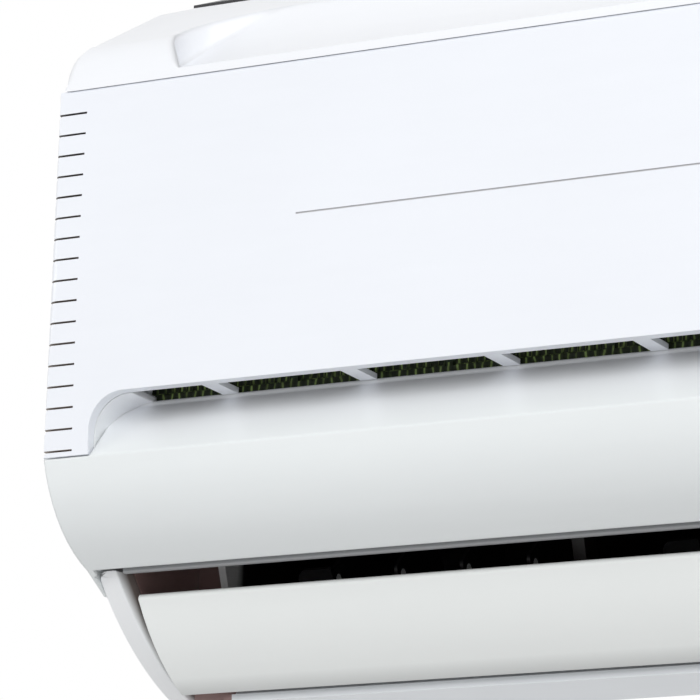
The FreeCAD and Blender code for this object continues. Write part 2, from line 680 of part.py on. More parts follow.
def front_casing():
    width = s.unit_width - s.end_inset * 2
    left = from_left(s.end_inset)
    skin = sheet_band("CasingSkin", "side", left, width, roof_points(), -s.shell_wall)
    whole = prism("CasingWhole", "side", left, width, casing_end_points())
    bowl = common("ScoopBowl", scoop_tool("ScoopOuter", s.shell_wall), whole)
    end = prism("CasingEnd", "side", left, s.shell_wall, casing_end_points())
    leg = s.notch_inset + s.seam
    recess_back = s.panel_return + s.seam * 2
    sill = above(s.bulge_level - s.shell_wall)
    jamb_width = leg + s.shell_wall - s.end_inset
    jamb = block("CasingJamb", left, behind(recess_back), sill, jamb_width, s.shell_wall,
                 lid_level - s.bulge_level + s.shell_wall * 2)
    shelf = block("CasingShelf", left, behind(s.shell_wall / 2), sill, jamb_width, recess_back, s.shell_wall)
    stop = sheet_band("AlcoveEnd", "front", behind(s.notch_rim + s.seam), recess_back - s.notch_rim, [
        (from_left(s.notch_inset), sill),
        (from_left(s.notch_inset), above(s.notch_level), s.notch_round),
        (from_left(s.notch_inset + s.notch_round + s.seam * 2), above(s.notch_level)),
    ], s.shell_wall)
    corner = fuse("CasingCorner", [jamb, shelf, stop])
    ear_bar = block("HingeEarBar", from_left(s.hinge_inset), behind(s.bead_radius),
                    above(hinge_level - s.hinge_eye), s.hinge_ear,
                    s.alcove_back - s.bead_radius + s.shell_wall, s.hinge_eye * 3 / 2)
    ear_eye = rod("HingeEarEye", "X", from_left(s.hinge_inset), behind(s.bead_radius), above(hinge_level),
                  s.hinge_eye, s.hinge_ear)
    ear = fuse("HingeEar", [ear_bar, ear_eye])
    whole_skin = fuse("CasingSolid", [skin, bowl, end, mirrored("CasingEndRight", end), ear,
                                      mirrored("HingeEarRight", ear)])
    solid = common("CasingRounded", whole_skin, rounded_ends())
    recess = block("PanelEndRecess", from_left(size(0)), behind(-s.panel_crown * 2), above(s.bulge_level),
                   leg, recess_back + s.panel_crown * 2, lid_level - s.bulge_level)
    window = block("IntakeWindow", from_left(s.window_side), behind(s.alcove_back - s.seam),
                   above(s.alcove_top), s.unit_width - s.window_side * 2, s.shell_wall + s.seam * 2,
                   below_top(s.window_drop) - s.alcove_top)
    rim = s.grille_inset + s.grille_lap
    roof = block("RoofOpening", from_left(rim), behind(s.grille_front + s.grille_lap),
                 above(below_top(s.shell_wall * 2)), s.unit_width - rim * 2,
                 s.grille_rear - s.grille_front - s.grille_lap * 2, s.shell_wall * 4)
    bevel = prism("ShoulderBevel", "side", left, width, [
        (behind(-s.shoulder_bevel), above(lid_level)),
        (behind(s.shoulder_back + s.shoulder_bevel), above(lid_level)),
        (behind(-s.shoulder_bevel), above(lid_level + s.shoulder_back + s.shoulder_bevel * 2)),
    ])
    lap = block("CheekLap", from_left(s.end_inset + s.tail_wall), behind(s.lip_back + s.shell_wall + s.seam),
                above(s.tail_level - s.seam), s.shell_wall, s.unit_depth,
                cheek_top - s.tail_level + s.seam * 2)
    pin = rod("HingeBore", "X", from_left(s.hinge_inset - s.seam), behind(s.bead_radius), above(hinge_level),
              s.hinge_pin_radius + s.running_fit, s.hinge_ear + s.seam * 2)
    tools = [scoop_tool("Scoop", size(0)), recess, mirrored("PanelEndRecessRight", recess), window, roof, pin,
             mirrored("HingeBoreRight", pin), bevel, lap, mirrored("CheekLapRight", lap)]
    shell = cut("CasingShell", solid, tools)
    node(fuse("FrontCasing", [shell, corner, mirrored("CasingCornerRight", corner)]), "front_casing")


# Front panel: crowned face with a rolled top edge, ribbed ends and a notched lower edge
def panel_face_points():
    low = s.bulge_level + s.seam
    middle = (low + hinge_level) / 2
    bead = s.bead_radius
    slant = bead * HALF_ROOT
    return [
        (behind(0), above(low)),
        ("via", behind(-s.panel_crown), above(middle)),
        (behind(0), above(hinge_level)),
        ("via", behind(bead - slant), above(hinge_level + slant)),
        (behind(bead), above(hinge_level + bead)),
        ("via", behind(bead + slant), above(hinge_level + slant)),
        (behind(bead * 2), above(hinge_level)),
        ("via", behind(bead + slant), above(hinge_level - slant)),
        (behind(bead), above(hinge_level - bead)),
        (behind(s.shell_wall), above(hinge_level - bead - s.shell_wall)),
        ("via", behind(s.shell_wall - s.panel_crown), above(middle)),
        (behind(s.shell_wall), above(low)),
    ]


def panel_end_points():
    bead = s.bead_radius
    return panel_face_points()[:5] + [
        (behind(s.panel_return - bead), above(hinge_level + bead)),
        (behind(s.panel_return), above(hinge_level)),
        (behind(s.panel_return), above(s.bulge_level + s.seam)),
    ]


def notch_points():
    """Front view of the notch in the panel's lower edge."""
    low = above(s.bulge_level - s.seam)
    return [
        (from_left(s.notch_inset), low),
        (from_left(s.notch_inset), above(s.notch_level), s.notch_round),
        (from_right(s.notch_inset), above(s.notch_level), s.notch_round),
        (from_right(s.notch_inset), low),
    ]


def panel_slots():
    slots = []
    for i in range(RIBS):
        low = s.rib_low + rib_pitch * i
        slot = prism(f"RibSlot{i}", "front", behind(-s.panel_crown * 2),
                     s.panel_return - s.rib_rear + s.panel_crown * 2, [
            (from_left(-s.seam), above(low + s.rib_slot)),
            (from_left(s.rib_reach), above(low + s.rib_slot)),
            (from_left(s.rib_reach), above(low)),
            (from_left(s.rib_bevel), above(low)),
            (from_left(0), above(low - s.rib_bevel)),
            (from_left(-s.seam), above(low - s.rib_bevel)),
        ])
        slots += [slot, mirrored(f"RibSlotRight{i}", slot)]
    return slots


def panel_dividers():
    pitch = (s.unit_width - s.divider_inset * 2) / (DIVIDERS - 1)
    start = s.notch_rim - s.rim_wall
    bars = []
    for i in range(DIVIDERS):
        bars.append(block(f"Divider{i}", from_left(s.divider_inset - s.divider_width / 2) + pitch * i,
                          behind(start), above(s.notch_level), s.divider_width,
                          s.alcove_back - s.seam - start, s.divider_height))
    return bars


def front_panel():
    width = s.unit_width
    left = from_left(0)
    face = prism("PanelFace", "side", left, width, panel_face_points())
    end = prism("PanelEnd", "side", left, s.shell_wall, panel_end_points())
    notch = prism("PanelNotch", "front", behind(-s.panel_crown * 2), s.panel_crown * 2 + s.panel_return,
                  notch_points())
    low = above(s.bulge_level + s.seam)
    rim_points = [(x, low) if i in (0, 3) else (x, *rest) for i, (x, *rest) in enumerate(notch_points())]
    rim = sheet_band("NotchRim", "front", behind(s.shell_wall / 2), s.notch_rim - s.shell_wall / 2,
                     rim_points, s.rim_wall)
    pin = rod("PanelPin", "X", from_left(s.hinge_inset - s.hinge_pin_length), behind(s.bead_radius),
              above(hinge_level), s.hinge_pin_radius, s.hinge_ear + s.hinge_pin_length * 2)
    gap = s.hinge_eye + s.seam / 2
    eye = rod("PanelEyePocket", "X", from_left(s.hinge_inset - s.seam), behind(s.bead_radius),
              above(hinge_level), gap, s.hinge_ear + s.seam * 2)
    sweep = block("PanelEarPocket", from_left(s.hinge_inset - s.seam), behind(s.bead_radius - s.seam),
                  above(hinge_level - gap), s.hinge_ear + s.seam * 2, s.bead_radius * 2,
                  gap + s.bead_radius * 2)
    groove = block("DecorGroove", from_left(s.groove_inset), behind(-s.panel_crown * 2),
                   above(below_top(s.groove_drop)), width - s.groove_inset * 2,
                   s.panel_crown + s.groove_depth, s.groove_width)
    pockets = [eye, mirrored("PanelEyePocketRight", eye), sweep, mirrored("PanelEarPocketRight", sweep)]
    blank = fuse("PanelBlank", [face, end, mirrored("PanelEndRight", end)])
    shell = cut("PanelShell", blank, [notch] + pockets)
    solid = fuse("PanelSolid", [shell, rim, pin, mirrored("PanelPinRight", pin)] + panel_dividers())
    rounded = prism("PanelPlan", "plan", above(0), s.unit_height, [
        (from_left(0), behind(-s.panel_crown), s.panel_corner),
        (from_right(0), behind(-s.panel_crown), s.panel_corner),
        (from_right(0), behind(s.panel_return)),
        (from_left(0), behind(s.panel_return)),
    ])
    slotted = cut("PanelSlotted", solid, panel_slots() + [groove])
    node(common("FrontPanel", slotted, rounded), "front_panel")


# Rear chassis: scroll, duct ends, flap supports, underside strip, back wall and motor cradle
def floor_point(distance):
    """A point on the duct's floor, measured up from its lower edge."""
    return (s.floor_front_back + distance * cosine(s.floor_angle),
            s.floor_front_level + distance * sine(s.floor_angle))


def vane_place(bay, index):
    return duct_left + bay_width * bay + s.vane_first + vane_pitch * index


def vane_bores():
    bores = []
    back, level = floor_point(s.vane_seat)
    for bay in range(BAYS):
        for i in range(VANES_PER_BAY):
            reach = s.duct_wall * 2
            spot = (vane_place(bay, i), behind(back + reach * sine(s.floor_angle)),
                    above(level - reach * cosine(s.floor_angle)))
            bore = rod(f"VaneBore{bay}{i}", "Z", *spot, s.vane_pin_radius + s.running_fit, reach * 2)
            bore.Placement = Placement(Vector(), Rotation(Vector(1, 0, 0), s.floor_angle.value))
            bind(bore, "Placement.Rotation.Angle", s.floor_angle)
            place(bore, *spot)
            bores.append(bore)
    return bores


def rear_chassis():
    inner_back = back_wall_back - s.duct_wall
    end_left = duct_left - s.duct_wall
    scroll = sheet_band("Scroll", "side", end_left, duct_width + s.duct_wall * 2, [
        (behind(inner_back), above(scroll_level)),
        (behind(s.scroll_back), above(scroll_level)),
        (behind(s.scroll_back), above(corner_level), s.scroll_round),
        (behind(s.floor_front_back), above(s.floor_front_level)),
    ], -s.duct_wall)
    ends = []
    for name, x in (("DuctEndLeft", end_left), ("DuctEndRight", duct_right)):
        ends.append(prism(name, "side", x, s.duct_wall, [
            (behind(floor_point(s.support_start)[0]), above(floor_point(s.support_start)[1])),
            (behind(s.scroll_back), above(corner_level)),
            (behind(inner_back), above(corner_level)),
            (behind(inner_back), above(s.duct_end_top - s.duct_end_bevel)),
            (behind(inner_back - s.duct_end_bevel), above(s.duct_end_top)),
            (behind(s.duct_end_front), above(s.duct_end_top)),
            (behind(s.duct_end_front), above(s.bulge_level)),
            (behind(s.flap_axis_back), above(s.flap_axis_level)),
        ]))
    strip = block("Strip", from_left(s.strip_inset), behind(s.floor_front_back), above(0),
                  s.unit_width - s.strip_inset * 2, s.strip_depth, s.floor_front_level)
    back = block("BackWall", from_left(s.strip_inset), behind(inner_back), above(corner_level),
                 s.unit_width - s.strip_inset * 2, s.duct_wall,
                 below_top(s.shell_wall + s.seam) - corner_level)
    cradle_front = s.fan_back - s.motor_radius - s.clamp_foot
    cradle = block("MotorCradle", duct_right + s.motor_gap + s.motor_length / 4, behind(cradle_front),
                   above(corner_level), s.motor_length / 2, inner_back - cradle_front,
                   s.fan_level - corner_level)
    supports = []
    for i in range(1, BAYS):
        supports.append(prism(f"FlapSupport{i}", "side", duct_left + bay_width * i - s.support_width / 2,
                              s.support_width, [
            (behind(floor_point(s.support_start)[0]), above(floor_point(s.support_start)[1])),
            (behind(floor_point(s.support_start + s.support_foot)[0]),
             above(floor_point(s.support_start + s.support_foot)[1])),
            (behind(s.flap_axis_back + s.flap_boss), above(s.flap_axis_level)),
            (behind(s.support_back + s.flap_boss), above(s.support_level + s.flap_boss)),
            (behind(s.support_back), above(s.support_level)),
            (behind(s.flap_axis_back - s.flap_boss), above(s.flap_axis_level)),
        ]))
    cheek_edge = cheek_inner + s.seam
    closers = []
    for name, start, stop in (("CloserLeft", from_left(cheek_edge), end_left),
                              ("CloserRight", duct_right + s.duct_wall, from_right(cheek_edge))):
        closers.append(block(name, start, behind(s.closer_back), above(0), stop - start, s.duct_wall,
                             s.closer_level))
    solid = fuse("ChassisSolid", [scroll, strip, back, cradle] + ends + supports + closers)
    hole = s.bush_radius + s.holder_wall
    tools = vane_bores()
    through = s.duct_wall + s.seam * 2
    tools.append(rod("BearingHole", "X", end_left - s.seam, fan_y, fan_z, hole, through))
    tools.append(rod("ShaftHole", "X", duct_right - s.seam, fan_y, fan_z, s.shaft_radius * 2, through))
    tools.append(rod("CradleBore", "X", duct_right + s.motor_gap, fan_y, fan_z, s.motor_radius,
                     s.motor_length))
    tools.append(rod("FlapBore", "X", duct_left, behind(s.flap_axis_back), above(s.flap_axis_level),
                     s.flap_pin_radius + s.running_fit, duct_width))
    for side in (-1, 1):
        tools.append(rod(f"ScrewBore{side + 1}", "Z", duct_right + s.motor_gap + s.motor_length / 2,
                         fan_y + clamp_reach * side, fan_z - s.screw_length, s.screw_radius,
                         s.screw_length * 2))
        tools.append(block(f"HookSlot{side + 1}", s.hook_span / 2 * side - s.hook_width / 2 - s.seam,
                           behind(inner_back - s.seam), s.plate_tall / 2 - s.hook_rise - s.plate_wall,
                           s.hook_width + s.seam * 2, s.duct_wall + s.seam * 2, s.hook_rise + s.plate_wall))
    node(cut("RearChassis", solid, tools), "rear_chassis")


# Drain tray, which is also the upper wall of the outlet duct
def drain_tray():
    tray = prism("TrayBody", "side", duct_left, duct_width, [
        (behind(s.lip_back + s.shell_wall), above(s.lip_level + s.shell_wall + s.tray_lift)),
        (behind(s.tray_nose_back - s.tray_nose), above(s.tray_nose_level - s.tray_nose * 2)),
        (behind(s.tray_nose_back), above(s.tray_nose_level)),
        (behind(s.tray_nose_back - s.tray_nose), above(s.tray_nose_level)),
        (behind(s.coil_front_back + s.coil_wall + s.seam), above(s.coil_foot_level)),
        (behind(s.coil_front_back + s.coil_wall - s.tray_ledge), above(s.coil_foot_level)),
        (behind(s.coil_front_back + s.coil_wall - s.tray_ledge * 2), above(s.coil_foot_level - s.tray_dip)),
        (behind(s.coil_front_back - s.shell_wall), above(s.coil_foot_level - s.tray_dip)),
        (behind(s.coil_front_back - s.shell_wall * 2), above(s.alcove_base - s.shell_wall)),
        (behind(s.alcove_back + s.shell_wall + s.seam), above(s.alcove_base - s.shell_wall)),
        (behind(s.alcove_back + s.shell_wall + s.seam), above(s.tray_top)),
    ])
    axis = (behind(s.spigot_back), above(s.spigot_level))
    spigot = rod("Spigot", "X", duct_right, *axis, s.spigot_radius, s.spigot_length)
    bore = rod("SpigotBore", "X", duct_right - s.tray_ledge, *axis, s.spigot_bore,
               s.spigot_length + s.tray_ledge * 2)
    sump = block("Sump", duct_right - s.tray_ledge - s.spigot_radius, behind(s.spigot_back - s.spigot_bore),
                 above(s.spigot_level - s.spigot_bore), s.spigot_radius, s.spigot_bore * 2,
                 s.coil_foot_level - s.spigot_level)
    node(cut("DrainTray", fuse("TraySolid", [tray, spigot]), [bore, sump]), "drain_tray")


# Outlet rail under the tray's front, behind the outlet lip
def outlet_rail():
    front = behind(s.lip_back + s.shell_wall)
    low = above(s.lip_level - s.rail_drop)
    high = above(s.lip_level + s.shell_wall + s.tray_lift - s.seam / 2)
    rail = prism("OutletRail", "side", from_left(s.rail_inset), s.unit_width - s.rail_inset * 2, [
        (front, low, s.rail_round),
        (front + s.shell_wall, low),
        (front + s.shell_wall, high),
        (front, high),
    ])
    node(rail, "outlet_rail")


# Outlet cheeks at both ends of the flap, with a bevel on the inner side of their fronts
def cheek_front(back):
    """Side view of a cheek's curved front, set back by a distance, from its top to its foot."""
    return [
        (behind(s.cheek_top_back + back), above(cheek_top)),
        ("via", behind(s.cheek_knee_back + back), above(s.cheek_knee_level)),
        (behind(s.cheek_foot_back + back), above(0)),
    ]


def cheek_rear(high):
    return [(behind(s.cheek_rear_back), above(0)), (behind(s.cheek_rear_back), above(high))]


def flap_pin_bore(name):
    return rod(name, "X", from_left(cheek_inner - s.flap_pin_length), behind(s.flap_axis_back),
               above(s.flap_axis_level), s.flap_pin_radius + s.running_fit, s.flap_pin_length + s.seam)


def cheek_solid():
    """The left cheek: a flat front, a bevel beside it and a narrow edge behind the bevel."""
    outer = from_left(cheek_outer)
    bevel_start = from_left(cheek_outer + s.cheek_face)
    face = prism("CheekFace", "side", outer, s.cheek_face, cheek_front(size(0)) + cheek_rear(cheek_top))
    back_edge = list(reversed(cheek_front(s.cheek_bevel + s.cheek_nose)))
    bevel = doc.addObject("Part::Loft", "CheekBevel")
    bevel.Sections = [outline("CheekBevelStart", "side", bevel_start, cheek_front(size(0)) + back_edge),
                      outline("CheekBevelEnd", "side", from_left(cheek_inner),
                              cheek_front(s.cheek_bevel) + back_edge)]
    bevel.Solid = True
    bevel.Ruled = True
    rounded = prism("CheekRound", "front", behind(0), s.unit_depth, [
        (outer, above(0)),
        (from_left(cheek_inner), above(0)),
        (from_left(cheek_inner), above(cheek_top)),
        (outer, above(cheek_top), s.cheek_round),
    ])
    return common("CheekSolid", fuse("CheekBlank", [face, bevel]), rounded)


def cheeks():
    solid = cheek_solid()
    node(cut("CheekLeft", solid, [flap_pin_bore("CheekBore")]), "left_cheek")
    node(mirrored("CheekRight", solid), "right_cheek")
    start = from_left(cheek_outer + s.cheek_face)
    set_back = s.cheek_bevel + s.cheek_nose + s.seam / 2
    high = cheek_top + s.cheek_width
    corner = (behind(s.cheek_top_back + set_back), above(high))
    body = prism("EndBlock", "side", start, from_left(cheek_inner) - start,
                 cheek_front(set_back) + cheek_rear(high) + [corner])
    node(cut("EndBlockLeft", body, [flap_pin_bore("EndBlockBore")]), "left_end_block")
    node(mirrored("EndBlockRight", body), "right_end_block")


# Flap: one curved blade with arms on the axis
def arc_centre(points):
    """Centre of the circle through three points."""
    (ax, ay), (bx, by), (cx, cy) = points
    a_square, b_square, c_square = [x * x + y * y for x, y in points]
    area = (ax * (by - cy) + bx * (cy - ay) + cx * (ay - by)) * 2
    x = (a_square * (by - cy) + b_square * (cy - ay) + c_square * (ay - by)) / area
    y = (a_square * (cx - bx) + b_square * (ax - cx) + c_square * (bx - ax)) / area
    return x, y


def flap_points():
    outer = [(s.flap_top_back, s.flap_top_level), (s.flap_mid_back, s.flap_mid_level),
             (s.flap_foot_back, s.flap_foot_level)]
    x, y = arc_centre(outer)
    inner, edges = [], []
    for turn, (back, level) in zip((-1, 0, 1), outer):
        radius = root((x - back) * (x - back) + (y - level) * (y - level))
        across = (x - back) / radius * s.flap_wall
        up = (y - level) / radius * s.flap_wall
        inner.append((back + across, level + up))
        edges.append((back + across / 2 + up / 2 * turn, level + up / 2 - across / 2 * turn))
    path = [outer[0], ("via", *outer[1]), outer[2], ("via", *edges[2]),
            inner[2], ("via", *inner[1]), inner[0], ("via", *edges[0])]
    return [(*point[:-2], behind(point[-2]), above(point[-1])) for point in path]


def flap_arm(name, at):
    lean = s.flap_wall * HALF_ROOT
    boss = s.flap_boss * HALF_ROOT
    web = prism(name + "Web", "side", at, s.flap_arm, [
        (behind(s.flap_mid_back - s.flap_boss / 2), above(s.flap_mid_level + s.flap_boss)),
        (behind(s.flap_mid_back + s.flap_boss + lean), above(s.flap_mid_level - s.flap_boss + lean)),
        (behind(s.flap_axis_back + boss), above(s.flap_axis_level - boss)),
        (behind(s.flap_axis_back - boss), above(s.flap_axis_level + boss)),
    ])
    eye = rod(name + "Eye", "X", at, behind(s.flap_axis_back), above(s.flap_axis_level), s.flap_boss,
              s.flap_arm)
    return [web, eye]


def flap():
    axis = (behind(s.flap_axis_back), above(s.flap_axis_level))
    width = s.unit_width - s.flap_inset * 2
    blade = prism("FlapBlade", "side", from_left(s.flap_inset), width, flap_points())
    pieces = [blade] + flap_arm("FlapArmLeft", from_left(s.flap_inset))
    pieces.append(rod("FlapPin", "X", from_left(cheek_inner - s.flap_pin_length + s.seam), *axis,
                      s.flap_pin_radius, s.flap_pin_length + s.flap_inset - s.cheek_width))
    for i in range(1, BAYS):
        edge = duct_left + bay_width * i + s.support_width / 2
        pieces += flap_arm(f"FlapArm{i}", edge + s.seam)
        pieces.append(rod(f"FlapStud{i}", "X", edge - s.support_width, *axis, s.flap_pin_radius,
                          s.support_width + s.seam * 2))
    drive = from_right(s.flap_drive_inset)
    pieces += flap_arm("FlapArmDrive", drive)
    bore = rod("FlapDriveBore", "X", drive - s.seam, *axis, s.flap_shaft_radius + s.running_fit,
               s.flap_arm + s.seam * 2)
    node(cut("Flap", fuse("FlapSolid", pieces), [bore]), "flap")


def flap_motor():
    axis = (behind(s.flap_axis_back), above(s.flap_axis_level))
    inner = from_right(cheek_inner)
    start = from_right(s.flap_drive_inset) + s.flap_arm + s.seam
    can = rod("FlapMotorCan", "X", start, *axis, s.flap_motor_radius, inner - start)
    shaft = rod("FlapMotorShaft", "X", from_right(s.flap_drive_inset) + s.seam / 2, *axis,
                s.flap_shaft_radius, s.flap_arm + s.seam)
    node(fuse("FlapMotor", [can, shaft]), "flap_motor")


# Vanes and tie bars, drawn on the slope of the duct's floor
def on_floor(body, x):
    back, level = floor_point(s.vane_seat)
    body.Placement = Placement(Vector(), Rotation(Vector(1, 0, 0), s.floor_angle.value))
    bind(body, "Placement.Rotation.Angle", s.floor_angle)
    place(body, x, behind(back), above(level))


def origin_plane(body, role):
    return next(f for f in body.Origin.OriginFeatures if f.Role == role)


def body_sketch(body, name, role, offset, points):
    sketch = body.newObject("Sketcher::SketchObject", name)
    sketch.AttachmentSupport = [(origin_plane(body, role), "")]
    sketch.MapMode = "FlatFace"
    draw(sketch, points)
    bind(sketch, "AttachmentOffset.Base.z", offset)
    return sketch


def circle_sketch(body, name, role, offset, x, y, radius):
    sketch = body.newObject("Sketcher::SketchObject", name)
    sketch.AttachmentSupport = [(origin_plane(body, role), "")]
    sketch.MapMode = "FlatFace"
    ring = Part.Circle(Vector(x.value, y.value, 0), Vector(0, 0, 1), radius.value)
    circle = sketch.addGeometry(ring, False)
    index = sketch.addConstraint(Sketcher.Constraint("Radius", circle, radius.value))
    bind(sketch, f"Constraints[{index}]", radius)
    pin_point(sketch, circle, 3, x, y)
    bind(sketch, "AttachmentOffset.Base.z", offset)
    return sketch


def pad(body, name, sketch, length):
    feature = body.newObject("PartDesign::Pad", name)
    feature.Profile = sketch
    bind(feature, "Length", length)
    sketch.Visibility = False
    return feature


def pocket(body, name, sketch, length, reverse):
    feature = body.newObject("PartDesign::Pocket", name)
    feature.Profile = sketch
    feature.Reversed = reverse
    bind(feature, "Length", length)
    return feature


def vane(bay, index):
    name = f"Vane{bay}{index}"
    body = doc.addObject("PartDesign::Body", name)
    step = s.link_arm - s.vane_pin_radius * 2
    shelf = s.link_lift + s.link_wall + s.seam * 2
    blade = body_sketch(body, name + "Blade", "YZ_Plane", -s.vane_wall / 2, [
        (-s.vane_front, s.vane_foot),
        (step, s.vane_foot),
        (step, shelf),
        (s.vane_rear, shelf),
        (s.vane_rear, s.vane_height, s.vane_rear / 2),
        (-s.vane_front, s.vane_height, s.vane_front / 4),
    ])
    pad(body, name + "BladePad", blade, s.vane_wall)
    pin = circle_sketch(body, name + "Pin", "XY_Plane", -s.duct_wall, size(0), size(0), s.vane_pin_radius)
    pad(body, name + "PinPad", pin, s.duct_wall + s.vane_foot + s.vane_pin_radius)
    link = circle_sketch(body, name + "Link", "XY_Plane", s.link_lift - s.seam, size(0), s.link_arm,
                         s.link_pin_radius)
    pad(body, name + "LinkPad", link, shelf - s.link_lift + s.seam * 2)
    if index == 0:
        knob = body_sketch(body, name + "Knob", "XZ_Plane", s.vane_front - s.vane_wall, [
            (-s.knob_width, s.vane_height - s.knob_width),
            (s.vane_wall / 2, s.vane_height - s.knob_width),
            (s.vane_wall / 2, s.vane_height + s.knob_rise),
            (-s.knob_width, s.vane_height + s.knob_rise, s.knob_width / 3),
        ])
        pad(body, name + "KnobPad", knob, s.vane_wall)
    on_floor(body, vane_place(bay, index))
    node(body, f"vane_{bay + 1}_{index + 1}")


def tie_bar(bay):
    name = f"TieBar{bay}"
    body = doc.addObject("PartDesign::Body", name)
    margin = s.link_width / 2
    span = vane_pitch * (VANES_PER_BAY - 1)
    strip = body_sketch(body, name + "Strip", "XY_Plane", s.link_lift, [
        (-margin, s.link_arm - margin, s.link_wall),
        (span + margin, s.link_arm - margin, s.link_wall),
        (span + margin, s.link_arm + margin, s.link_wall),
        (-margin, s.link_arm + margin, s.link_wall),
    ])
    pad(body, name + "StripPad", strip, s.link_wall)
    hole = circle_sketch(body, name + "Hole", "XY_Plane", s.link_lift, size(0), s.link_arm,
                         s.link_pin_radius + s.running_fit)
    first = pocket(body, name + "HolePocket", hole, s.link_wall, True)
    row = body.newObject("PartDesign::LinearPattern", name + "Holes")
    row.Originals = [first]
    row.Direction = (origin_plane(body, "X_Axis"), [""])
    row.Occurrences = VANES_PER_BAY
    bind(row, "Length", span)
    body.Tip = row
    on_floor(body, vane_place(bay, 0))
    node(body, f"tie_bar_{bay + 1}")


# Cross-flow fan wheel on its shaft, along the body's own Z
def along_axis(body, x):
    body.Placement = Placement(Vector(), Rotation(Vector(0, 1, 0), 90))
    place(body, x, fan_y, fan_z)


def fan_wheel():
    body = doc.addObject("PartDesign::Body", "FanWheel")
    length = duct_width - s.fan_gap * 2
    inner = s.fan_radius - s.blade_chord
    wall = s.blade_wall
    middle = s.blade_hook / 2 - s.blade_bow
    blade = body_sketch(body, "BladeSection", "XY_Plane", size(0), [
        (inner, size(0)),
        ("via", inner + s.blade_chord / 2, middle),
        (s.fan_radius - wall, s.blade_hook),
        (s.fan_radius - wall, s.blade_hook + wall),
        ("via", inner + s.blade_chord / 2, middle + wall),
        (inner, wall),
    ])
    first = pad(body, "Blade", blade, length)
    ring = body.newObject("PartDesign::PolarPattern", "Blades")
    ring.Originals = [first]
    ring.Axis = (origin_plane(body, "Z_Axis"), [""])
    ring.Angle = WHOLE_TURN
    ring.Occurrences = FAN_BLADES
    body.Tip = ring
    for i in range(FAN_SECTIONS + 1):
        at = (length - s.fan_disc) / FAN_SECTIONS * i
        disc = circle_sketch(body, f"Disc{i}", "XY_Plane", at, size(0), size(0), s.fan_radius)
        pad(body, f"DiscPad{i}", disc, s.fan_disc)
    for name, at in (("HubLeft", size(0)), ("HubRight", length - s.hub_length)):
        hub = circle_sketch(body, name, "XY_Plane", at, size(0), size(0), s.shaft_radius * 2)
        pad(body, name + "Pad", hub, s.hub_length)
    for i in range(1, FAN_SECTIONS):
        at = (length - s.fan_disc) / FAN_SECTIONS * i
        eye = circle_sketch(body, f"DiscEye{i}", "XY_Plane", at, size(0), size(0), inner - s.fan_disc)
        pocket(body, f"DiscEyePocket{i}", eye, s.fan_disc, True)
    bore = circle_sketch(body, "ShaftBore", "XY_Plane", size(0), size(0), size(0), s.shaft_radius)
    pocket(body, "ShaftBorePocket", bore, length, True)
    along_axis(body, duct_left + s.fan_gap)
    node(body, "fan_wheel")


def fan_shafts():
    stub = rod("FanStub", "X", duct_left - s.bush_length, fan_y, fan_z, s.shaft_radius,
               s.bush_length + s.fan_gap + s.hub_length)
    node(stub, "fan_stub_shaft")
    start = duct_right - s.fan_gap - s.hub_length
    shaft = rod("MotorShaft", "X", start, fan_y, fan_z, s.shaft_radius,
                s.fan_gap + s.hub_length + s.motor_gap + s.motor_length / 2)
    node(shaft, "motor_shaft")


def bearing():
    outer = s.bush_radius + s.holder_wall
    flange = outer + s.holder_flange
    plate = duct_left - s.duct_wall - s.holder_wall
    ring = [rod("HolderFlange", "X", plate, fan_y, fan_z, flange, s.holder_wall),
            rod("HolderCup", "X", duct_left - s.bush_length, fan_y, fan_z, outer, s.bush_length)]
    bore = rod("HolderBore", "X", duct_left - s.bush_length * 2, fan_y, fan_z, s.bush_radius,
               s.bush_length * 4)
    node(cut("BearingHolder", fuse("HolderSolid", ring), [bore]), "bearing_holder")
    bush = rod("BushBody", "X", duct_left - s.bush_length, fan_y, fan_z, s.bush_radius, s.bush_length)
    eye = rod("BushBore", "X", duct_left - s.bush_length * 2, fan_y, fan_z, s.shaft_radius + s.running_fit,
              s.bush_length * 4)
    node(cut("BearingBush", bush, [eye]), "bearing_bush")


def fan_motor():
    start = duct_right + s.motor_gap
    can = rod("MotorCan", "X", start, fan_y, fan_z, s.motor_radius, s.motor_length)
    caps = [rod("MotorNose", "X", start - s.motor_boss, fan_y, fan_z, s.motor_radius / 3, s.motor_boss),
            rod("MotorTail", "X", start + s.motor_length, fan_y, fan_z, s.motor_radius / 3, s.motor_boss)]
    bore = rod("MotorBore", "X", start - s.motor_boss * 2, fan_y, fan_z, s.shaft_radius + s.running_fit,
               s.motor_boss * 2 + s.motor_length / 2)
    node(cut("FanMotor", fuse("MotorSolid", [can] + caps), [bore]), "fan_motor")
    at = start + s.motor_length / 4
    band = rod("ClampOuter", "X", at, fan_y, fan_z, s.motor_radius + s.duct_wall, s.motor_length / 2)
    foot = block("ClampFeet", at, fan_y - s.motor_radius - s.clamp_foot, fan_z, s.motor_length / 2,
                 (s.motor_radius + s.clamp_foot) * 2, s.duct_wall)
    inner = rod("ClampInner", "X", at - s.seam, fan_y, fan_z, s.motor_radius, s.motor_length / 2 + s.seam * 2)
    lower = block("ClampBelow", at - s.seam, fan_y - s.motor_radius * 2, fan_z - s.motor_radius * 2,
                  s.motor_length, s.motor_radius * 4, s.motor_radius * 2)
    tools = [inner, lower]
    for side in (-1, 1):
        tools.append(rod(f"ClampBore{side + 1}", "Z", start + s.motor_length / 2,
                         fan_y + clamp_reach * side, fan_z - s.screw_length,
                         s.screw_radius + s.running_fit, s.screw_length * 2))
    node(cut("MotorClamp", fuse("ClampSolid", [band, foot]), tools), "motor_clamp")


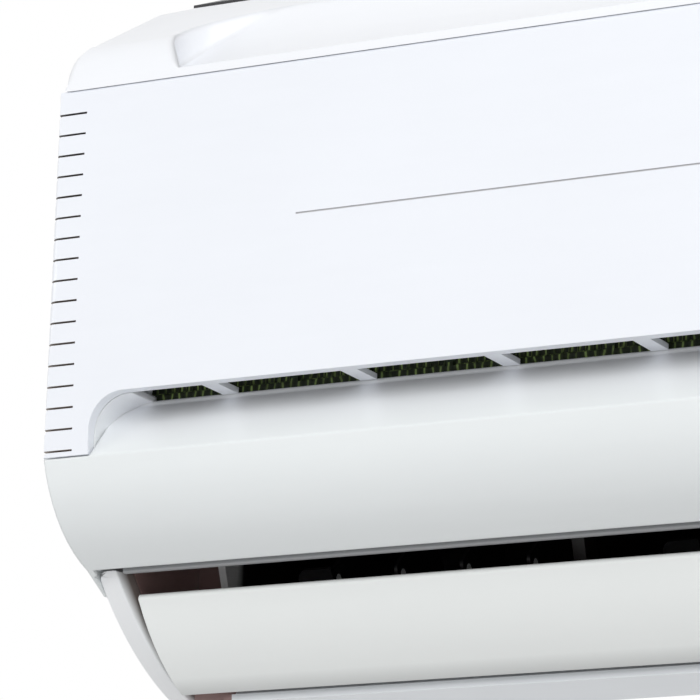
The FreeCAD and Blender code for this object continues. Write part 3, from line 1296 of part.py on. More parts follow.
# Coil: three fin blocks, end plates and return bends
def leaning_block(name, x, back, level, length, width, height, lean):
    box = block(name, x, behind(back), above(level), length, width, height)
    box.Placement = Placement(Vector(), Rotation(Vector(1, 0, 0), lean.value))
    bind(box, "Placement.Rotation.Angle", lean)
    place(box, x, behind(back), above(level))
    return box


def coil_blocks(name, x, length):
    """The three blocks of the folded coil, each leaning on its lower front edge."""
    low = block(name + "Low", x, behind(s.coil_front_back), above(s.coil_foot_level), length, s.coil_wall,
                coil_low_height)
    high = leaning_block(name + "High", x, s.coil_front_back, coil_high_level, length, s.coil_wall,
                         coil_high_rise, -s.coil_high_lean)
    rear = leaning_block(name + "Rear", x, s.coil_rear_back, below_top(s.coil_rear_drop), length,
                         s.coil_rear_length, s.coil_wall, -s.coil_rear_lean)
    return low, high, rear


def coil():
    start = duct_left - s.duct_wall
    length = duct_width + s.duct_wall * 2
    labels = ("coil_lower", "coil_upper", "coil_rear")
    for block_piece, label in zip(coil_blocks("Fins", start, length), labels):
        node(block_piece, label)
    for side, x in (("left", start - s.coil_plate), ("right", duct_right + s.duct_wall)):
        plates = list(coil_blocks("Plate" + side, x, s.coil_plate))
        plates.append(block("PlateTab" + side, x, behind(s.coil_front_back),
                            above(s.duct_end_top - s.plate_tab), s.coil_plate,
                            s.duct_end_front - s.coil_front_back + s.plate_tab, s.plate_tab))
        plates.append(block("PlateLink" + side, x, behind(s.coil_front_back + s.coil_wall / 2),
                            above(s.coil_foot_level + coil_low_height - s.plate_tab), s.coil_plate,
                            s.coil_wall / 2, s.plate_tab * 3))
        plates.append(block("PlateBridge" + side, x, behind(s.coil_rear_back - s.coil_bridge + s.plate_tab),
                            above(below_top(s.coil_rear_drop) - s.plate_tab / 2), s.coil_plate, s.coil_bridge,
                            s.plate_tab))
        node(fuse("CoilPlate" + side, plates), f"coil_plate_{side}")


def half_bend(name, x, y, z, turn):
    bend = doc.addObject("Part::Torus", name)
    bend.Angle3 = WHOLE_TURN / 2
    bend.Placement = Placement(Vector(), turn)
    bind(bend, "Radius1", s.tube_bend)
    bind(bend, "Radius2", s.tube_radius)
    place(bend, x, y, z)
    return bend


def bend_row(name, outward, length, upright, x, back, level, lean):
    """Return bends along the middle of a coil block, in a group that leans with it."""
    along = Vector(0, 0, 1) if upright else Vector(0, 1, 0)
    out = Vector(outward, 0, 0)
    turn = Rotation(along, out, along.cross(out), "XYZ")
    spread = s.tube_bend * 4
    count = int(length.value / spread.value)
    bends = []
    for i in range(count):
        here = length / count * i + length / count / 2
        middle = s.coil_wall / 2
        spot = (size(0), middle, here) if upright else (size(0), here, middle)
        bends.append(half_bend(f"{name}{i}", *spot, turn))
    group = compound(name, bends)
    group.Placement = Placement(Vector(), Rotation(Vector(1, 0, 0), lean.value))
    bind(group, "Placement.Rotation.Angle", lean)
    place(group, x, behind(back), above(level))
    return group


def coil_tubes():
    rows = []
    for side, outward, x in (("Left", -1, duct_left - s.duct_wall - s.coil_plate),
                             ("Right", 1, duct_right + s.duct_wall + s.coil_plate)):
        low = (x, s.coil_front_back, s.coil_foot_level, size(0))
        high = (x, s.coil_front_back, coil_high_level, -s.coil_high_lean)
        rear = (x, s.coil_rear_back, below_top(s.coil_rear_drop), -s.coil_rear_lean)
        rows.append(bend_row("BendsLow" + side, outward, coil_low_height, True, *low))
        rows.append(bend_row("BendsHigh" + side, outward, coil_high_rise, True, *high))
        rows.append(bend_row("BendsRear" + side, outward, s.coil_rear_length, False, *rear))
    node(compound("CoilTubes", rows), "coil_tubes")


# Filters: curved frames with windows, each carrying a sheet of mesh
def filter_sheet(name, wall):
    width = s.unit_width / 2 - s.filter_inset - s.seam
    return sheet_band(name, "side", from_left(s.filter_inset), width, [
        (behind(s.filter_back), above(s.alcove_top - s.shell_wall)),
        (behind(s.filter_back), above(below_top(s.filter_bend_drop)), s.filter_round),
        (behind(s.filter_top_back), above(below_top(s.filter_top_drop))),
    ], wall)


def filter_windows():
    width = s.unit_width / 2 - s.filter_inset - s.seam
    pane = (width - s.filter_rib) / FILTER_COLUMNS
    bend = below_top(s.filter_bend_drop)
    rows = [(s.alcove_top + s.filter_rib, bend),
            (bend + s.filter_rib, below_top(s.filter_top_drop + s.filter_rib))]
    windows = []
    for i in range(FILTER_COLUMNS):
        for k, (low, high) in enumerate(rows):
            at = from_left(s.filter_inset + s.filter_rib) + pane * i
            windows.append(block(f"FilterPane{i}{k}", at, behind(s.alcove_back), above(low),
                                 pane - s.filter_rib, s.filter_top_back, high - low))
    return windows


def filters():
    sheet = filter_sheet("FilterSheet", s.filter_wall)
    frame = cut("FilterFrame", sheet, filter_windows())
    mesh = cut("FilterMesh", filter_sheet("FilterThick", s.filter_wall + s.mesh_wall), [sheet])
    node(frame, "left_filter_frame")
    node(mesh, "left_filter_mesh")
    node(mirrored("FilterFrameRight", frame), "right_filter_frame")
    node(mirrored("FilterMeshRight", mesh), "right_filter_mesh")


# Top grille: a flange on the roof with bars across its opening
def top_grille():
    span = s.unit_width - s.grille_inset * 2
    depth = s.grille_rear - s.grille_front
    rim = s.grille_lap * 2
    left = from_left(s.grille_inset)
    front = behind(s.grille_front)
    top = above(s.unit_height)
    flange = block("GrilleFlange", left, front, top, span, depth, s.grille_flange)
    mouth = block("GrilleMouth", left + rim, front + rim, top - s.grille_flange, span - rim * 2,
                  depth - rim * 2, s.grille_flange * 3)
    frame = cut("GrilleFrame", flange, [mouth])
    fall = s.slope_drop / (s.roof_back - s.slope_back)
    nose = top - (s.roof_back - s.grille_nose) * fall
    apron = prism("GrilleApron", "side", left, span, [
        (behind(s.grille_nose), nose),
        (behind(s.roof_back), top),
        (front + rim / 2, top),
        (front + rim / 2, top + s.grille_flange),
        (behind(s.roof_back), top + s.grille_flange),
        (behind(s.grille_nose), nose + s.grille_flange),
    ])
    room = span - rim * 2
    count = int(room.value / s.grille_pitch.value)
    fit = s.grille_lap + s.seam
    foot = top + s.grille_flange - s.grille_height
    bars = []
    for i in range(1, count):
        at = left + rim + room / count * i - s.grille_bar / 2
        bars.append(block(f"GrilleBar{i}", at, front + fit, foot, s.grille_bar, depth - fit * 2,
                          s.grille_height))
    rail = block("GrilleRail", left + fit, front + depth / 2, foot, span - fit * 2, s.grille_bar,
                 s.grille_height)
    node(fuse("TopGrille", [frame, apron, rail] + bars), "top_grille")


# Wall plate: pressed sheet with two ribs, hooks and four screw holes
def wall_plate():
    half = s.plate_tall / 2
    rib = s.plate_rib
    points = []
    for side in (-1, 1):
        middle = s.plate_rib_rise / 2 * side
        reach = s.plate_rib_height / 2
        points += [(size(0), middle - reach - rib), (-rib, middle - reach), (-rib, middle + reach),
                   (size(0), middle + reach + rib)]
    points = [(size(0), -half)] + points + [(size(0), half)]
    sheet = sheet_band("PlateSheet", "side", -s.plate_width / 2, s.plate_width, points, -s.plate_wall)
    pieces, holes = [sheet], []
    for side in (-1, 1):
        left = s.hook_span / 2 * side - s.hook_width / 2
        corner = (left, -s.hook_reach, half - s.plate_wall)
        pieces.append(block(f"HookTab{side + 1}", *corner, s.hook_width, s.hook_reach, s.plate_wall))
        pieces.append(block(f"HookLip{side + 1}", *corner, s.hook_width, s.plate_wall, s.hook_rise))
        for tier in (-1, 1):
            holes.append(rod(f"ScrewHole{side + 1}{tier + 1}", "Y", s.screw_span / 2 * side,
                             -s.plate_wall * 2, s.screw_rise / 2 * tier, s.screw_hole_radius,
                             s.plate_wall * 3))
    node(cut("WallPlate", fuse("PlateSolid", pieces), holes), "wall_plate")


# Control box beside the motor, with its cover, board and terminal block
def control_box():
    x = from_right(box_inset)
    y = behind(back_wall_back - s.duct_wall - s.box_depth)
    z = above(corner_level)
    wall = s.box_wall
    outer = block("BoxOuter", x, y, z, s.box_width, s.box_depth, s.box_height)
    inner = block("BoxInner", x + wall, y - wall, z + wall, s.box_width - wall * 2, s.box_depth,
                  s.box_height - wall * 2)
    board_y = y + s.box_depth - wall - s.board_lift - s.board_wall
    posts = []
    for i, across in enumerate((s.board_post * 3, s.box_width - s.board_post * 3)):
        for k, up in enumerate((s.board_post * 3, s.box_height - s.board_post * 3)):
            posts.append(rod(f"BoardPost{i}{k}", "Y", x + across, board_y + s.board_wall, z + up,
                             s.board_post, s.board_lift + wall / 2))
    node(fuse("ControlBox", [cut("BoxShell", outer, [inner])] + posts), "control_box")
    edge = wall + s.seam
    board = block("BoardPlate", x + edge, board_y, z + edge, s.box_width - edge * 2, s.board_wall,
                  s.box_height - edge * 2)
    chips = []
    for i in range(1, BOARD_CHIPS + 1):
        chips.append(block(f"BoardChip{i}", x + s.box_width / 4, board_y - s.chip_height / i,
                           z + s.box_height / (BOARD_CHIPS + 1) * i, s.box_width / 2 / i, s.chip_height / i,
                           s.chip_height))
    node(fuse("ControlBoard", [board] + chips), "control_board")
    node(block("BoxCover", x, y - wall, z, s.box_width, wall, s.box_height), "control_box_cover")
    deep = s.terminal_depth
    terminal = block("TerminalBody", x + s.box_width / 6, y - wall - deep, z + s.box_height / 2,
                     s.box_width * 2 / 3, deep, deep)
    ports = []
    step = s.box_width * 2 / 3 / TERMINALS
    for i in range(TERMINALS):
        ports.append(rod(f"TerminalPort{i}", "Y", x + s.box_width / 6 + step / 2 + step * i,
                         y - wall - deep - s.seam, z + s.box_height / 2 + deep / 2, step / 4, deep / 2))
    node(cut("TerminalBlock", terminal, ports), "terminal_block")


# Refrigerant pipes from the coil's right end to the rear channel
def pipe(name, label, radius, rear_back, end_back, reach):
    x = duct_right + s.duct_wall + s.coil_plate
    across = rear_back - end_back
    drop = s.pipe_entry - s.pipe_level
    run = root(across * across + drop * drop)
    tilt = Size(-math.degrees(math.atan2(drop.value, across.value)),
                f"(-1 * atan2({drop.text}; {across.text}))")
    spine = outline(name + "Spine", "plan", above(s.pipe_entry), [
        (size(0), size(0)),
        (reach, size(0), s.pipe_bend),
        (reach, run, s.pipe_bend),
        (-s.pipe_length, run),
    ], closed=False)
    spine.Placement = Placement(Vector(), Rotation(Vector(1, 0, 0), tilt.value))
    bind(spine, "Placement.Rotation.Angle", tilt)
    place(spine, x, behind(end_back), above(s.pipe_entry))
    ring = doc.addObject("Part::Circle", name + "Ring")
    ring.Placement = Placement(Vector(), AXES["X"])
    bind(ring, "Radius", radius)
    place(ring, x, behind(end_back), above(s.pipe_entry))
    sweep = doc.addObject("Part::Sweep", name)
    sweep.Sections = [ring]
    doc.recompute()
    sweep.Spine = (spine, [f"Edge{i + 1}" for i in range(len(spine.Shape.Edges))])
    sweep.Solid = True
    node(sweep, label)
    nut = doc.addObject("Part::Prism", name + "NutBody")
    nut.Polygon = NUT_SIDES
    nut.Placement = Placement(Vector(), AXES["X"])
    bind(nut, "Circumradius", radius * 2)
    bind(nut, "Height", s.nut_length)
    place(nut, x - s.pipe_length, behind(rear_back), above(s.pipe_level))
    bore = rod(name + "NutBore", "X", x - s.pipe_length - s.seam, behind(rear_back), above(s.pipe_level),
               radius, s.nut_length + s.seam * 2)
    return cut(name + "Nut", nut, [bore])


def pipes():
    gas_rear = s.pipe_back - s.pipe_pitch
    gas_end = s.coil_front_back + s.coil_wall - s.gas_pipe_radius
    gas_reach = s.pipe_bend + s.seam
    liquid_end = s.coil_front_back + s.gas_pipe_radius
    liquid_reach = gas_reach + s.gas_pipe_radius + s.liquid_pipe_radius + s.pipe_clear
    nuts = [pipe("GasPipe", "gas_pipe", s.gas_pipe_radius, gas_rear, gas_end, gas_reach),
            pipe("LiquidPipe", "liquid_pipe", s.liquid_pipe_radius, s.pipe_back, liquid_end, liquid_reach)]
    node(compound("FlareNuts", nuts), "flare_nuts")
    inner_back = back_wall_back - s.duct_wall
    lead = s.gas_pipe_radius * 2
    body = prism("ClampBlock", "side", duct_right - s.pipe_length / 2, s.pipe_clamp, [
        (behind(gas_rear - lead), above(s.pipe_level - lead)),
        (behind(inner_back), above(s.pipe_level - lead)),
        (behind(inner_back), above(corner_level + lead)),
        (behind(inner_back - lead), above(corner_level + lead)),
        (behind(inner_back - lead), above(s.pipe_level + lead)),
        (behind(gas_rear - lead), above(s.pipe_level + lead)),
    ])
    bores = []
    seats = (("Gas", s.gas_pipe_radius, gas_rear), ("Liquid", s.liquid_pipe_radius, s.pipe_back))
    for name, radius, back in seats:
        bores.append(rod(f"Clamp{name}Bore", "X", duct_right - s.pipe_length, behind(back),
                         above(s.pipe_level), radius, s.pipe_length))
    node(cut("PipeClamp", body, bores), "pipe_clamp")


def clamp_screws():
    x = duct_right + s.motor_gap + s.motor_length / 2
    screws = []
    for side in (-1, 1):
        y = fan_y + clamp_reach * side
        head = rod(f"ScrewHead{side + 1}", "Z", x, y, fan_z + s.duct_wall, s.screw_radius * 2, s.screw_radius)
        shank = rod(f"ScrewShank{side + 1}", "Z", x, y, fan_z + s.duct_wall - s.screw_length,
                    s.screw_radius, s.screw_length)
        screws.append(fuse(f"ClampScrew{side + 1}", [head, shank]))
    node(compound("ClampScrews", screws), "clamp_screws")


def build():
    front_casing()
    front_panel()
    rear_chassis()
    drain_tray()
    outlet_rail()
    cheeks()
    flap()
    flap_motor()
    for bay in range(BAYS):
        for index in range(VANES_PER_BAY):
            vane(bay, index)
        tie_bar(bay)
    fan_wheel()
    fan_shafts()
    bearing()
    fan_motor()
    clamp_screws()
    coil()
    coil_tubes()
    filters()
    top_grille()
    wall_plate()
    control_box()
    pipes()


build()


# Checks, then one file for each piece
def write_parts():
    doc.recompute()
    broken = [thing.Name for thing in doc.Objects if "Invalid" in thing.State or "Error" in thing.State]
    for thing in NODES:
        if thing.Shape.isNull() or not thing.Shape.isValid():
            broken.append(thing.Label)
    if broken:
        raise RuntimeError("failed: " + ", ".join(broken))
    os.makedirs("parts", exist_ok=True)
    for thing in NODES:
        thing.Shape.exportStep(f"parts/{thing.Label}.step")
        box = thing.Shape.BoundBox
        print(thing.Label, len(thing.Shape.Solids), round(thing.Shape.Volume), box)


write_parts()
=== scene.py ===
import math
import random

import bpy
from mathutils import Matrix, Vector


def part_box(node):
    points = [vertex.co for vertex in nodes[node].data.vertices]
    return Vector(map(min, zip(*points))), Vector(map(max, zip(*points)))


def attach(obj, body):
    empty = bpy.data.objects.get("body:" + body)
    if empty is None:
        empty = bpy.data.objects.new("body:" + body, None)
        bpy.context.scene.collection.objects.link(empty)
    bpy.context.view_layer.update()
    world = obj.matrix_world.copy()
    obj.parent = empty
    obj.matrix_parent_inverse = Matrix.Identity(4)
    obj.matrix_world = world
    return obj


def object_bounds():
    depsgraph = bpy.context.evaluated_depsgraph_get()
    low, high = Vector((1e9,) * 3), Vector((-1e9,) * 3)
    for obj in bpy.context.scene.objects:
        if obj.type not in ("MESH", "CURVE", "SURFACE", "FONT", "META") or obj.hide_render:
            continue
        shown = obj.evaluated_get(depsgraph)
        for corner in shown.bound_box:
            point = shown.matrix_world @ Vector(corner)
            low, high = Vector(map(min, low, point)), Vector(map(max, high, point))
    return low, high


# Looks of the wall-mounted fan coil unit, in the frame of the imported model.
# Sizes on the unit are in millimetres; camera, lamps and floor are in metres.

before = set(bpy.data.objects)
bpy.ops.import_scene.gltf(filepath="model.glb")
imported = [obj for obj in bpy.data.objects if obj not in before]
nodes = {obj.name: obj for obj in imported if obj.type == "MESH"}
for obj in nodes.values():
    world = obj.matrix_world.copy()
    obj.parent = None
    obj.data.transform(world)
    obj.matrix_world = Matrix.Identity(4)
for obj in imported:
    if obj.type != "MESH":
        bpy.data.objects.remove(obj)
cad_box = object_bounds()
scene = bpy.context.scene
MM = 0.001

# The front panel's crown stands this far ahead of the casing's front
PANEL_CROWN = 1.5


def from_left(distance):
    return cad_box[0].x + distance * MM


def behind(distance):
    return cad_box[0].y + (PANEL_CROWN + distance) * MM


def above(distance):
    return cad_box[0].z + distance * MM


def from_ends(band):
    """Two distances from either end of the unit, as distances from its middle."""
    return tuple(-from_left(inset) for inset in band)


def depths(band):
    """Two distances behind the casing's front."""
    return tuple(behind(depth) for depth in band)


def levels(band):
    """Two heights above the unit's foot."""
    return tuple(above(level) for level in band)


# Camera at the photograph's place: below the unit and ahead of its right end, turned to its left end
CAMERA_PLACE = Vector((0.4258, -1.5147, -0.4521))
CAMERA_RIGHT = Vector((0.88279, 0.46886, 0.02920))
CAMERA_UP = Vector((0.09306, -0.23546, 0.96742))
CAMERA_LENS = 221.14
CAMERA_SENSOR = 36
CAMERA_NEAR = 0.05
CAMERA_FAR = 50


def make_camera():
    data = bpy.data.cameras.new("camera")
    data.lens = CAMERA_LENS
    data.sensor_width = CAMERA_SENSOR
    data.clip_start = CAMERA_NEAR
    data.clip_end = CAMERA_FAR
    camera = bpy.data.objects.new("camera", data)
    back = CAMERA_RIGHT.cross(CAMERA_UP)
    turn = Matrix((CAMERA_RIGHT, CAMERA_UP, back)).transposed().to_4x4()
    camera.matrix_world = Matrix.Translation(CAMERA_PLACE) @ turn
    scene.collection.objects.link(camera)
    scene.camera = camera


# Node trees: a mix node's colour sockets, a ramp's new stops, and the rays that round an edge
MIX_FIRST = 6
MIX_SECOND = 7
MIX_RESULT = 2
NEW_STOP = 0.5
EDGE_SAMPLES = 8


class Tree:
    """The nodes of a material or of the world, added and linked by short calls."""

    def __init__(self, owner):
        owner.use_nodes = True
        self.tree = owner.node_tree
        self.tree.nodes.clear()

    def add(self, kind, inputs=None, **settings):
        node = self.tree.nodes.new(kind)
        for name, value in settings.items():
            setattr(node, name, value)
        for name, value in (inputs or {}).items():
            self.feed(node.inputs[name], value)
        return node

    def feed(self, socket, value):
        if isinstance(value, bpy.types.NodeSocket):
            self.tree.links.new(value, socket)
        elif socket.type == "RGBA":
            socket.default_value = (*value, 1)
        else:
            socket.default_value = value

    def place(self):
        return self.add("ShaderNodeTexCoord").outputs["Object"]

    def axes(self, vector):
        return self.add("ShaderNodeSeparateXYZ", {"Vector": vector}).outputs

    def stretch(self, vector, scale):
        return self.add("ShaderNodeMapping", {"Vector": vector, "Scale": scale}).outputs["Vector"]

    def noise(self, vector, scale, detail=2.0, rough=0.5):
        inputs = {"Vector": vector, "Scale": scale, "Detail": detail, "Roughness": rough}
        return self.add("ShaderNodeTexNoise", inputs).outputs["Fac"]

    def bands(self, vector, scale, distortion, detail_scale):
        """Uneven bands that follow each other along X."""
        inputs = {"Vector": vector, "Scale": scale, "Distortion": distortion, "Detail": 2.0,
                  "Detail Scale": detail_scale}
        wave = self.add("ShaderNodeTexWave", inputs, wave_type="BANDS", bands_direction="X")
        return wave.outputs["Fac"]

    def ramp(self, fac, stops):
        """Colours at places from 0 to 1, given as pairs of place and colour."""
        stops = list(stops)
        node = self.add("ShaderNodeValToRGB", {"Fac": fac})
        band = node.color_ramp
        while len(band.elements) < len(stops):
            band.elements.new(NEW_STOP)
        for element, (position, colour) in zip(band.elements, stops):
            element.position = position
            element.color = (*colour, 1)
        return node.outputs["Color"]

    def span(self, value, band, result=(0.0, 1.0)):
        """A value's band of numbers mapped on to another one, and held at its ends."""
        inputs = {"Value": value, "From Min": band[0], "From Max": band[1],
                  "To Min": result[0], "To Max": result[1]}
        return self.add("ShaderNodeMapRange", inputs).outputs["Result"]

    def mix(self, fac, first, second):
        node = self.add("ShaderNodeMix", data_type="RGBA")
        self.feed(node.inputs["Factor"], fac)
        self.feed(node.inputs[MIX_FIRST], first)
        self.feed(node.inputs[MIX_SECOND], second)
        return node.outputs[MIX_RESULT]

    def sums(self, operation, first, second=0.0):
        return self.add("ShaderNodeMath", {0: first, 1: second}, operation=operation).outputs[0]

    def weighted(self, first, first_share, second, second_share):
        return self.sums("ADD", self.sums("MULTIPLY", first, first_share),
                         self.sums("MULTIPLY", second, second_share))

    def bump(self, height, strength, distance, soft_edge=None):
        inputs = {"Height": height, "Strength": strength, "Distance": distance}
        if soft_edge is not None:
            bevel = self.add("ShaderNodeBevel", {"Radius": soft_edge}, samples=EDGE_SAMPLES)
            inputs["Normal"] = bevel.outputs["Normal"]
        return self.add("ShaderNodeBump", inputs).outputs["Normal"]

    def finish(self, **inputs):
        named = {name.replace("_", " "): value for name, value in inputs.items()}
        shader = self.add("ShaderNodeBsdfPrincipled", named)
        self.add("ShaderNodeOutputMaterial", {"Surface": shader.outputs[0]})


def new_material(name):
    material = bpy.data.materials.new(name)
    return material, Tree(material)


def shade(colour, factor):
    return tuple(channel * factor for channel in colour)


def srgb(red, green, blue):
    """A colour given as it looks on a screen, 0 to 255, by the usual screen curve."""
    out = []
    for value in (red, green, blue):
        share = value / 255
        out.append(share / 12.92 if share <= 0.04045 else ((share + 0.055) / 1.055) ** 2.4)
    return tuple(out)


# Plastics: slow clouds and drawn-out flow marks in the colour, haze and fine grain on the skin
CLOUD_SCALE = 9
CLOUD_SHARE = 0.7
FLOW_SCALE = 14
FLOW_STRETCH = (2, 12, 12)
FLOW_SHARE = 0.3
DRIFT_STOPS = (0.32, 0.68)
DRIFT = 0.012
HAZE_SCALE = 40
HAZE_BAND = (0.1, 0.9)
GLOSS_SWING = 0.05
GRAIN = 0.04
GRAIN_SCALE = 1400
GRAIN_DEPTH = 0.0002
COAT_ROUGH = 0.12
# The middle of a noise's range
NOISE_BAND = (0.3, 0.7)


def drifted(tree, place, colour, drift=DRIFT):
    """A colour that drifts slowly over the moulding, with a few faint flow marks."""
    cloud = tree.noise(place, CLOUD_SCALE, detail=3)
    flow = tree.noise(tree.stretch(place, FLOW_STRETCH), FLOW_SCALE)
    mixed = tree.weighted(cloud, CLOUD_SHARE, flow, FLOW_SHARE)
    return tree.ramp(mixed, zip(DRIFT_STOPS, (shade(colour, 1 - drift), shade(colour, 1 + drift))))


def mould_skin(tree, place, tone, rough, grain, coat=0.0, soft_edge=None):
    """The shader of a moulded skin: fine grain, uneven gloss and, where wanted, edges that look rounded."""
    haze = tree.noise(place, HAZE_SCALE, detail=4)
    fine = tree.noise(place, GRAIN_SCALE, rough=0.6)
    tree.finish(
        Base_Color=tone,
        Roughness=tree.span(haze, HAZE_BAND, (rough - GLOSS_SWING, rough + GLOSS_SWING)),
        Normal=tree.bump(fine, grain, GRAIN_DEPTH, soft_edge),
        Coat_Weight=coat,
        Coat_Roughness=COAT_ROUGH,
    )


def moulded(name, colour, rough, grain=GRAIN, drift=DRIFT, coat=0.0):
    """Moulded plastic of one colour."""
    material, tree = new_material(name)
    place = tree.place()
    mould_skin(tree, place, drifted(tree, place, colour, drift), rough, grain, coat)
    return material


# Casing: where its edges grow rounder, how round they are, and where the bulge's tint ends
CASING_ROUGH = 0.34
CASING_GRAIN = 0.06
SHOULDER_START = (224, 228)
EDGE_RADII = (1.2 * MM, 4.5 * MM)
BULGE_END = (80, 100)


def casing_plastic(name, upper, lower):
    """Casing: one tint above and one on the bulge; its edges look rounded, the shoulder's the most."""
    material, tree = new_material(name)
    place = tree.place()
    height = tree.axes(place)["Z"]
    edge = tree.span(height, levels(SHOULDER_START), EDGE_RADII)
    upward = tree.span(height, levels(BULGE_END))
    tone = tree.mix(upward, drifted(tree, place, lower), drifted(tree, place, upper))
    mould_skin(tree, place, tone, CASING_ROUGH, CASING_GRAIN, soft_edge=edge)
    return material


# Cheeks: how far from the unit's ends the painted shade on the slanted side starts
CHEEK_SHADE_START = (10.6, 12.2)


def cheek_plastic(name, colour, dark):
    """Outlet cheeks: pale outside, with painted shade on the slanted side next to the flap."""
    material, tree = new_material(name)
    place = tree.place()
    away = tree.sums("ABSOLUTE", tree.axes(place)["X"])
    # Painted shade on the slanted side next to the flap
    inside = tree.span(away, from_ends(CHEEK_SHADE_START))
    tone = tree.mix(inside, drifted(tree, place, colour), drifted(tree, place, dark, drift=0.1))
    mould_skin(tree, place, tone, CASING_ROUGH, CASING_GRAIN)
    return material


# Flap: painted shade on its rounded lower edge: where it lies, and how much it darkens
FLAP_SHADE_LEVELS = (7.5, 2.8)
FLAP_SHADE_SHARE = (0.0, 0.5)
FLAP_SHADE_DEPTH = 0.4


def flap_plastic(name, colour):
    """Flap: the rounded lower edge is a little darker, a painted shade where it turns down."""
    material, tree = new_material(name)
    place = tree.place()
    # Painted shade along the rounded lower edge
    painted_shade = tree.span(tree.axes(place)["Z"], levels(FLAP_SHADE_LEVELS), FLAP_SHADE_SHARE)
    shaded_tone = drifted(tree, place, shade(colour, FLAP_SHADE_DEPTH), drift=0.05)
    mould_skin(tree, place, tree.mix(painted_shade, drifted(tree, place, colour), shaded_tone), rough=0.32, grain=0.05)
    return material


# Chassis: edges of the front posts, of the end pockets, and of the pale strip under the unit
POST_SIDE = (38.4, 38.2)
POST_BACK = (88, 83)
POCKET_SIDE = (33.6, 33.4)
POCKET_BACK = (112, 110)
STRIP_LEVELS = (9, 4)
STRIP_BACK = (112, 104)
FOOT_LEVELS = (3.4, 2.8)


def chassis_plastic(name, dark, wall, brown, strip):
    """Rear chassis: duct of dark plastic made nearly black by painted shade, with pale front posts, brown
    end pockets, pale under the unit.
    """
    material, tree = new_material(name)
    place = tree.place()
    x, y, z = tree.axes(place)
    away = tree.sums("ABSOLUTE", x)

    def where(value, band, back):
        return tree.sums("MULTIPLY", tree.span(value, band), tree.span(y, depths(back)))

    post = where(away, from_ends(POST_SIDE), POST_BACK)
    pocket = where(away, from_ends(POCKET_SIDE), POCKET_BACK)
    ahead = where(z, levels(STRIP_LEVELS), STRIP_BACK)
    under = tree.sums("MAXIMUM", tree.span(z, levels(FOOT_LEVELS)), ahead)
    # The duct's near black is dark plastic and painted shade
    tone = tree.mix(post, drifted(tree, place, dark, drift=0.2), drifted(tree, place, wall, drift=0.05))
    tone = tree.mix(under, tone, drifted(tree, place, strip))
    tone = tree.mix(pocket, tone, drifted(tree, place, brown, drift=0.15))
    mould_skin(tree, place, tone, rough=0.45, grain=0.05)
    return material


# Vanes: place of the painted lit corner, behind the front and above the foot, and its reach
VANE_LIT_CORNER = (81.2, 42.6)
VANE_LIT_REACH = (2.3 * MM, 2.0 * MM)


def vane_plastic(name, dark, pale):
    """Vanes: painted shade, nearly black in the duct, with a painted lit corner at the front."""
    material, tree = new_material(name)
    place = tree.place()
    across = tree.stretch(place, (0, 1, 1))
    corner = (0, behind(VANE_LIT_CORNER[0]), above(VANE_LIT_CORNER[1]))
    reach = tree.add("ShaderNodeVectorMath", {0: across, 1: corner}, operation="DISTANCE").outputs["Value"]
    # Pale only at the front corner, painted where light falls
    lit_tip = tree.span(reach, VANE_LIT_REACH)
    tone = tree.mix(lit_tip, drifted(tree, place, dark, drift=0.15), drifted(tree, place, pale, drift=0.03))
    mould_skin(tree, place, tone, rough=0.42, grain=0.05)
    return material


# Filters: threads of the net, their patches and fuzz, and the threads painted on what lies behind
THREAD_SCALE = 900
THREAD_STRETCH = (1, 0.04, 0.04)
THREAD_SHARE = 0.75
THREAD_STOPS = (0.42, 0.58, 0.72)
THREAD_SHADE = 0.35
PATCH_SCALE = 120
PATCH_SHARE = 0.35
FUZZ_SCALE = 2600
FUZZ_ROUGH = (0.5, 0.7)
STRAND_SCALE = 92.0
STRAND_STOPS = (0.0, 0.8, 0.97)
STRAND_SHADE = 0.12
WORN_SCALE = 190
WORN_STRETCH = (1, 0.3, 0.3)
WORN_BAND = (0.35, 0.6)
WRAP_LEVELS = (106.2, 106)


def netting(name, dark, pale):
    """Filter net: dyed threads, each with a tint of its own, some worn pale."""
    material, tree = new_material(name)
    place = tree.place()
    strand = tree.noise(tree.stretch(place, THREAD_STRETCH), THREAD_SCALE, detail=1)
    patch = tree.noise(place, PATCH_SCALE, detail=3)
    tint = tree.weighted(strand, THREAD_SHARE, patch, PATCH_SHARE)
    fuzz = tree.noise(place, FUZZ_SCALE, rough=0.7)
    tree.finish(
        Base_Color=tree.ramp(tint, zip(THREAD_STOPS, (dark, shade(pale, THREAD_SHADE), pale))),
        Roughness=tree.span(fuzz, NOISE_BAND, FUZZ_ROUGH),
        Normal=tree.bump(fuzz, strength=0.3, distance=GRAIN_DEPTH),
    )
    return material


def strands(tree, place, dark, pale):
    """Near-upright threads of a net, uneven in place and tint, over the painted shade behind them."""
    line = tree.bands(place, STRAND_SCALE, distortion=2.5, detail_scale=1.5)
    worn = tree.noise(tree.stretch(place, WORN_STRETCH), WORN_SCALE, detail=3, rough=0.6)
    tone = tree.ramp(line, zip(STRAND_STOPS, (dark, shade(pale, STRAND_SHADE), pale)))
    return tree.mix(tree.span(worn, WORN_BAND), dark, tone)


def net_shadow(name, dark, pale):
    """Filter mesh: dark, with the net's threads."""
    material, tree = new_material(name)
    place = tree.place()
    mould_skin(tree, place, strands(tree, place, dark, pale), rough=0.6, grain=0.3)
    return material


def frame_plastic(name, colour, dark, pale):
    """Filter frame: dyed plastic, its lowest bar wrapped in the net, with the threads over painted shade.
    """
    material, tree = new_material(name)
    place = tree.place()
    wrapped = tree.span(tree.axes(place)["Z"], levels(WRAP_LEVELS))
    tone = tree.mix(wrapped, drifted(tree, place, colour, drift=0.06), strands(tree, place, dark, pale))
    mould_skin(tree, place, tone, rough=0.45, grain=0.06)
    return material


# Rib slots at the front panel's ends: heights between which they lie
RIB_LEVELS = (79.5, 215)


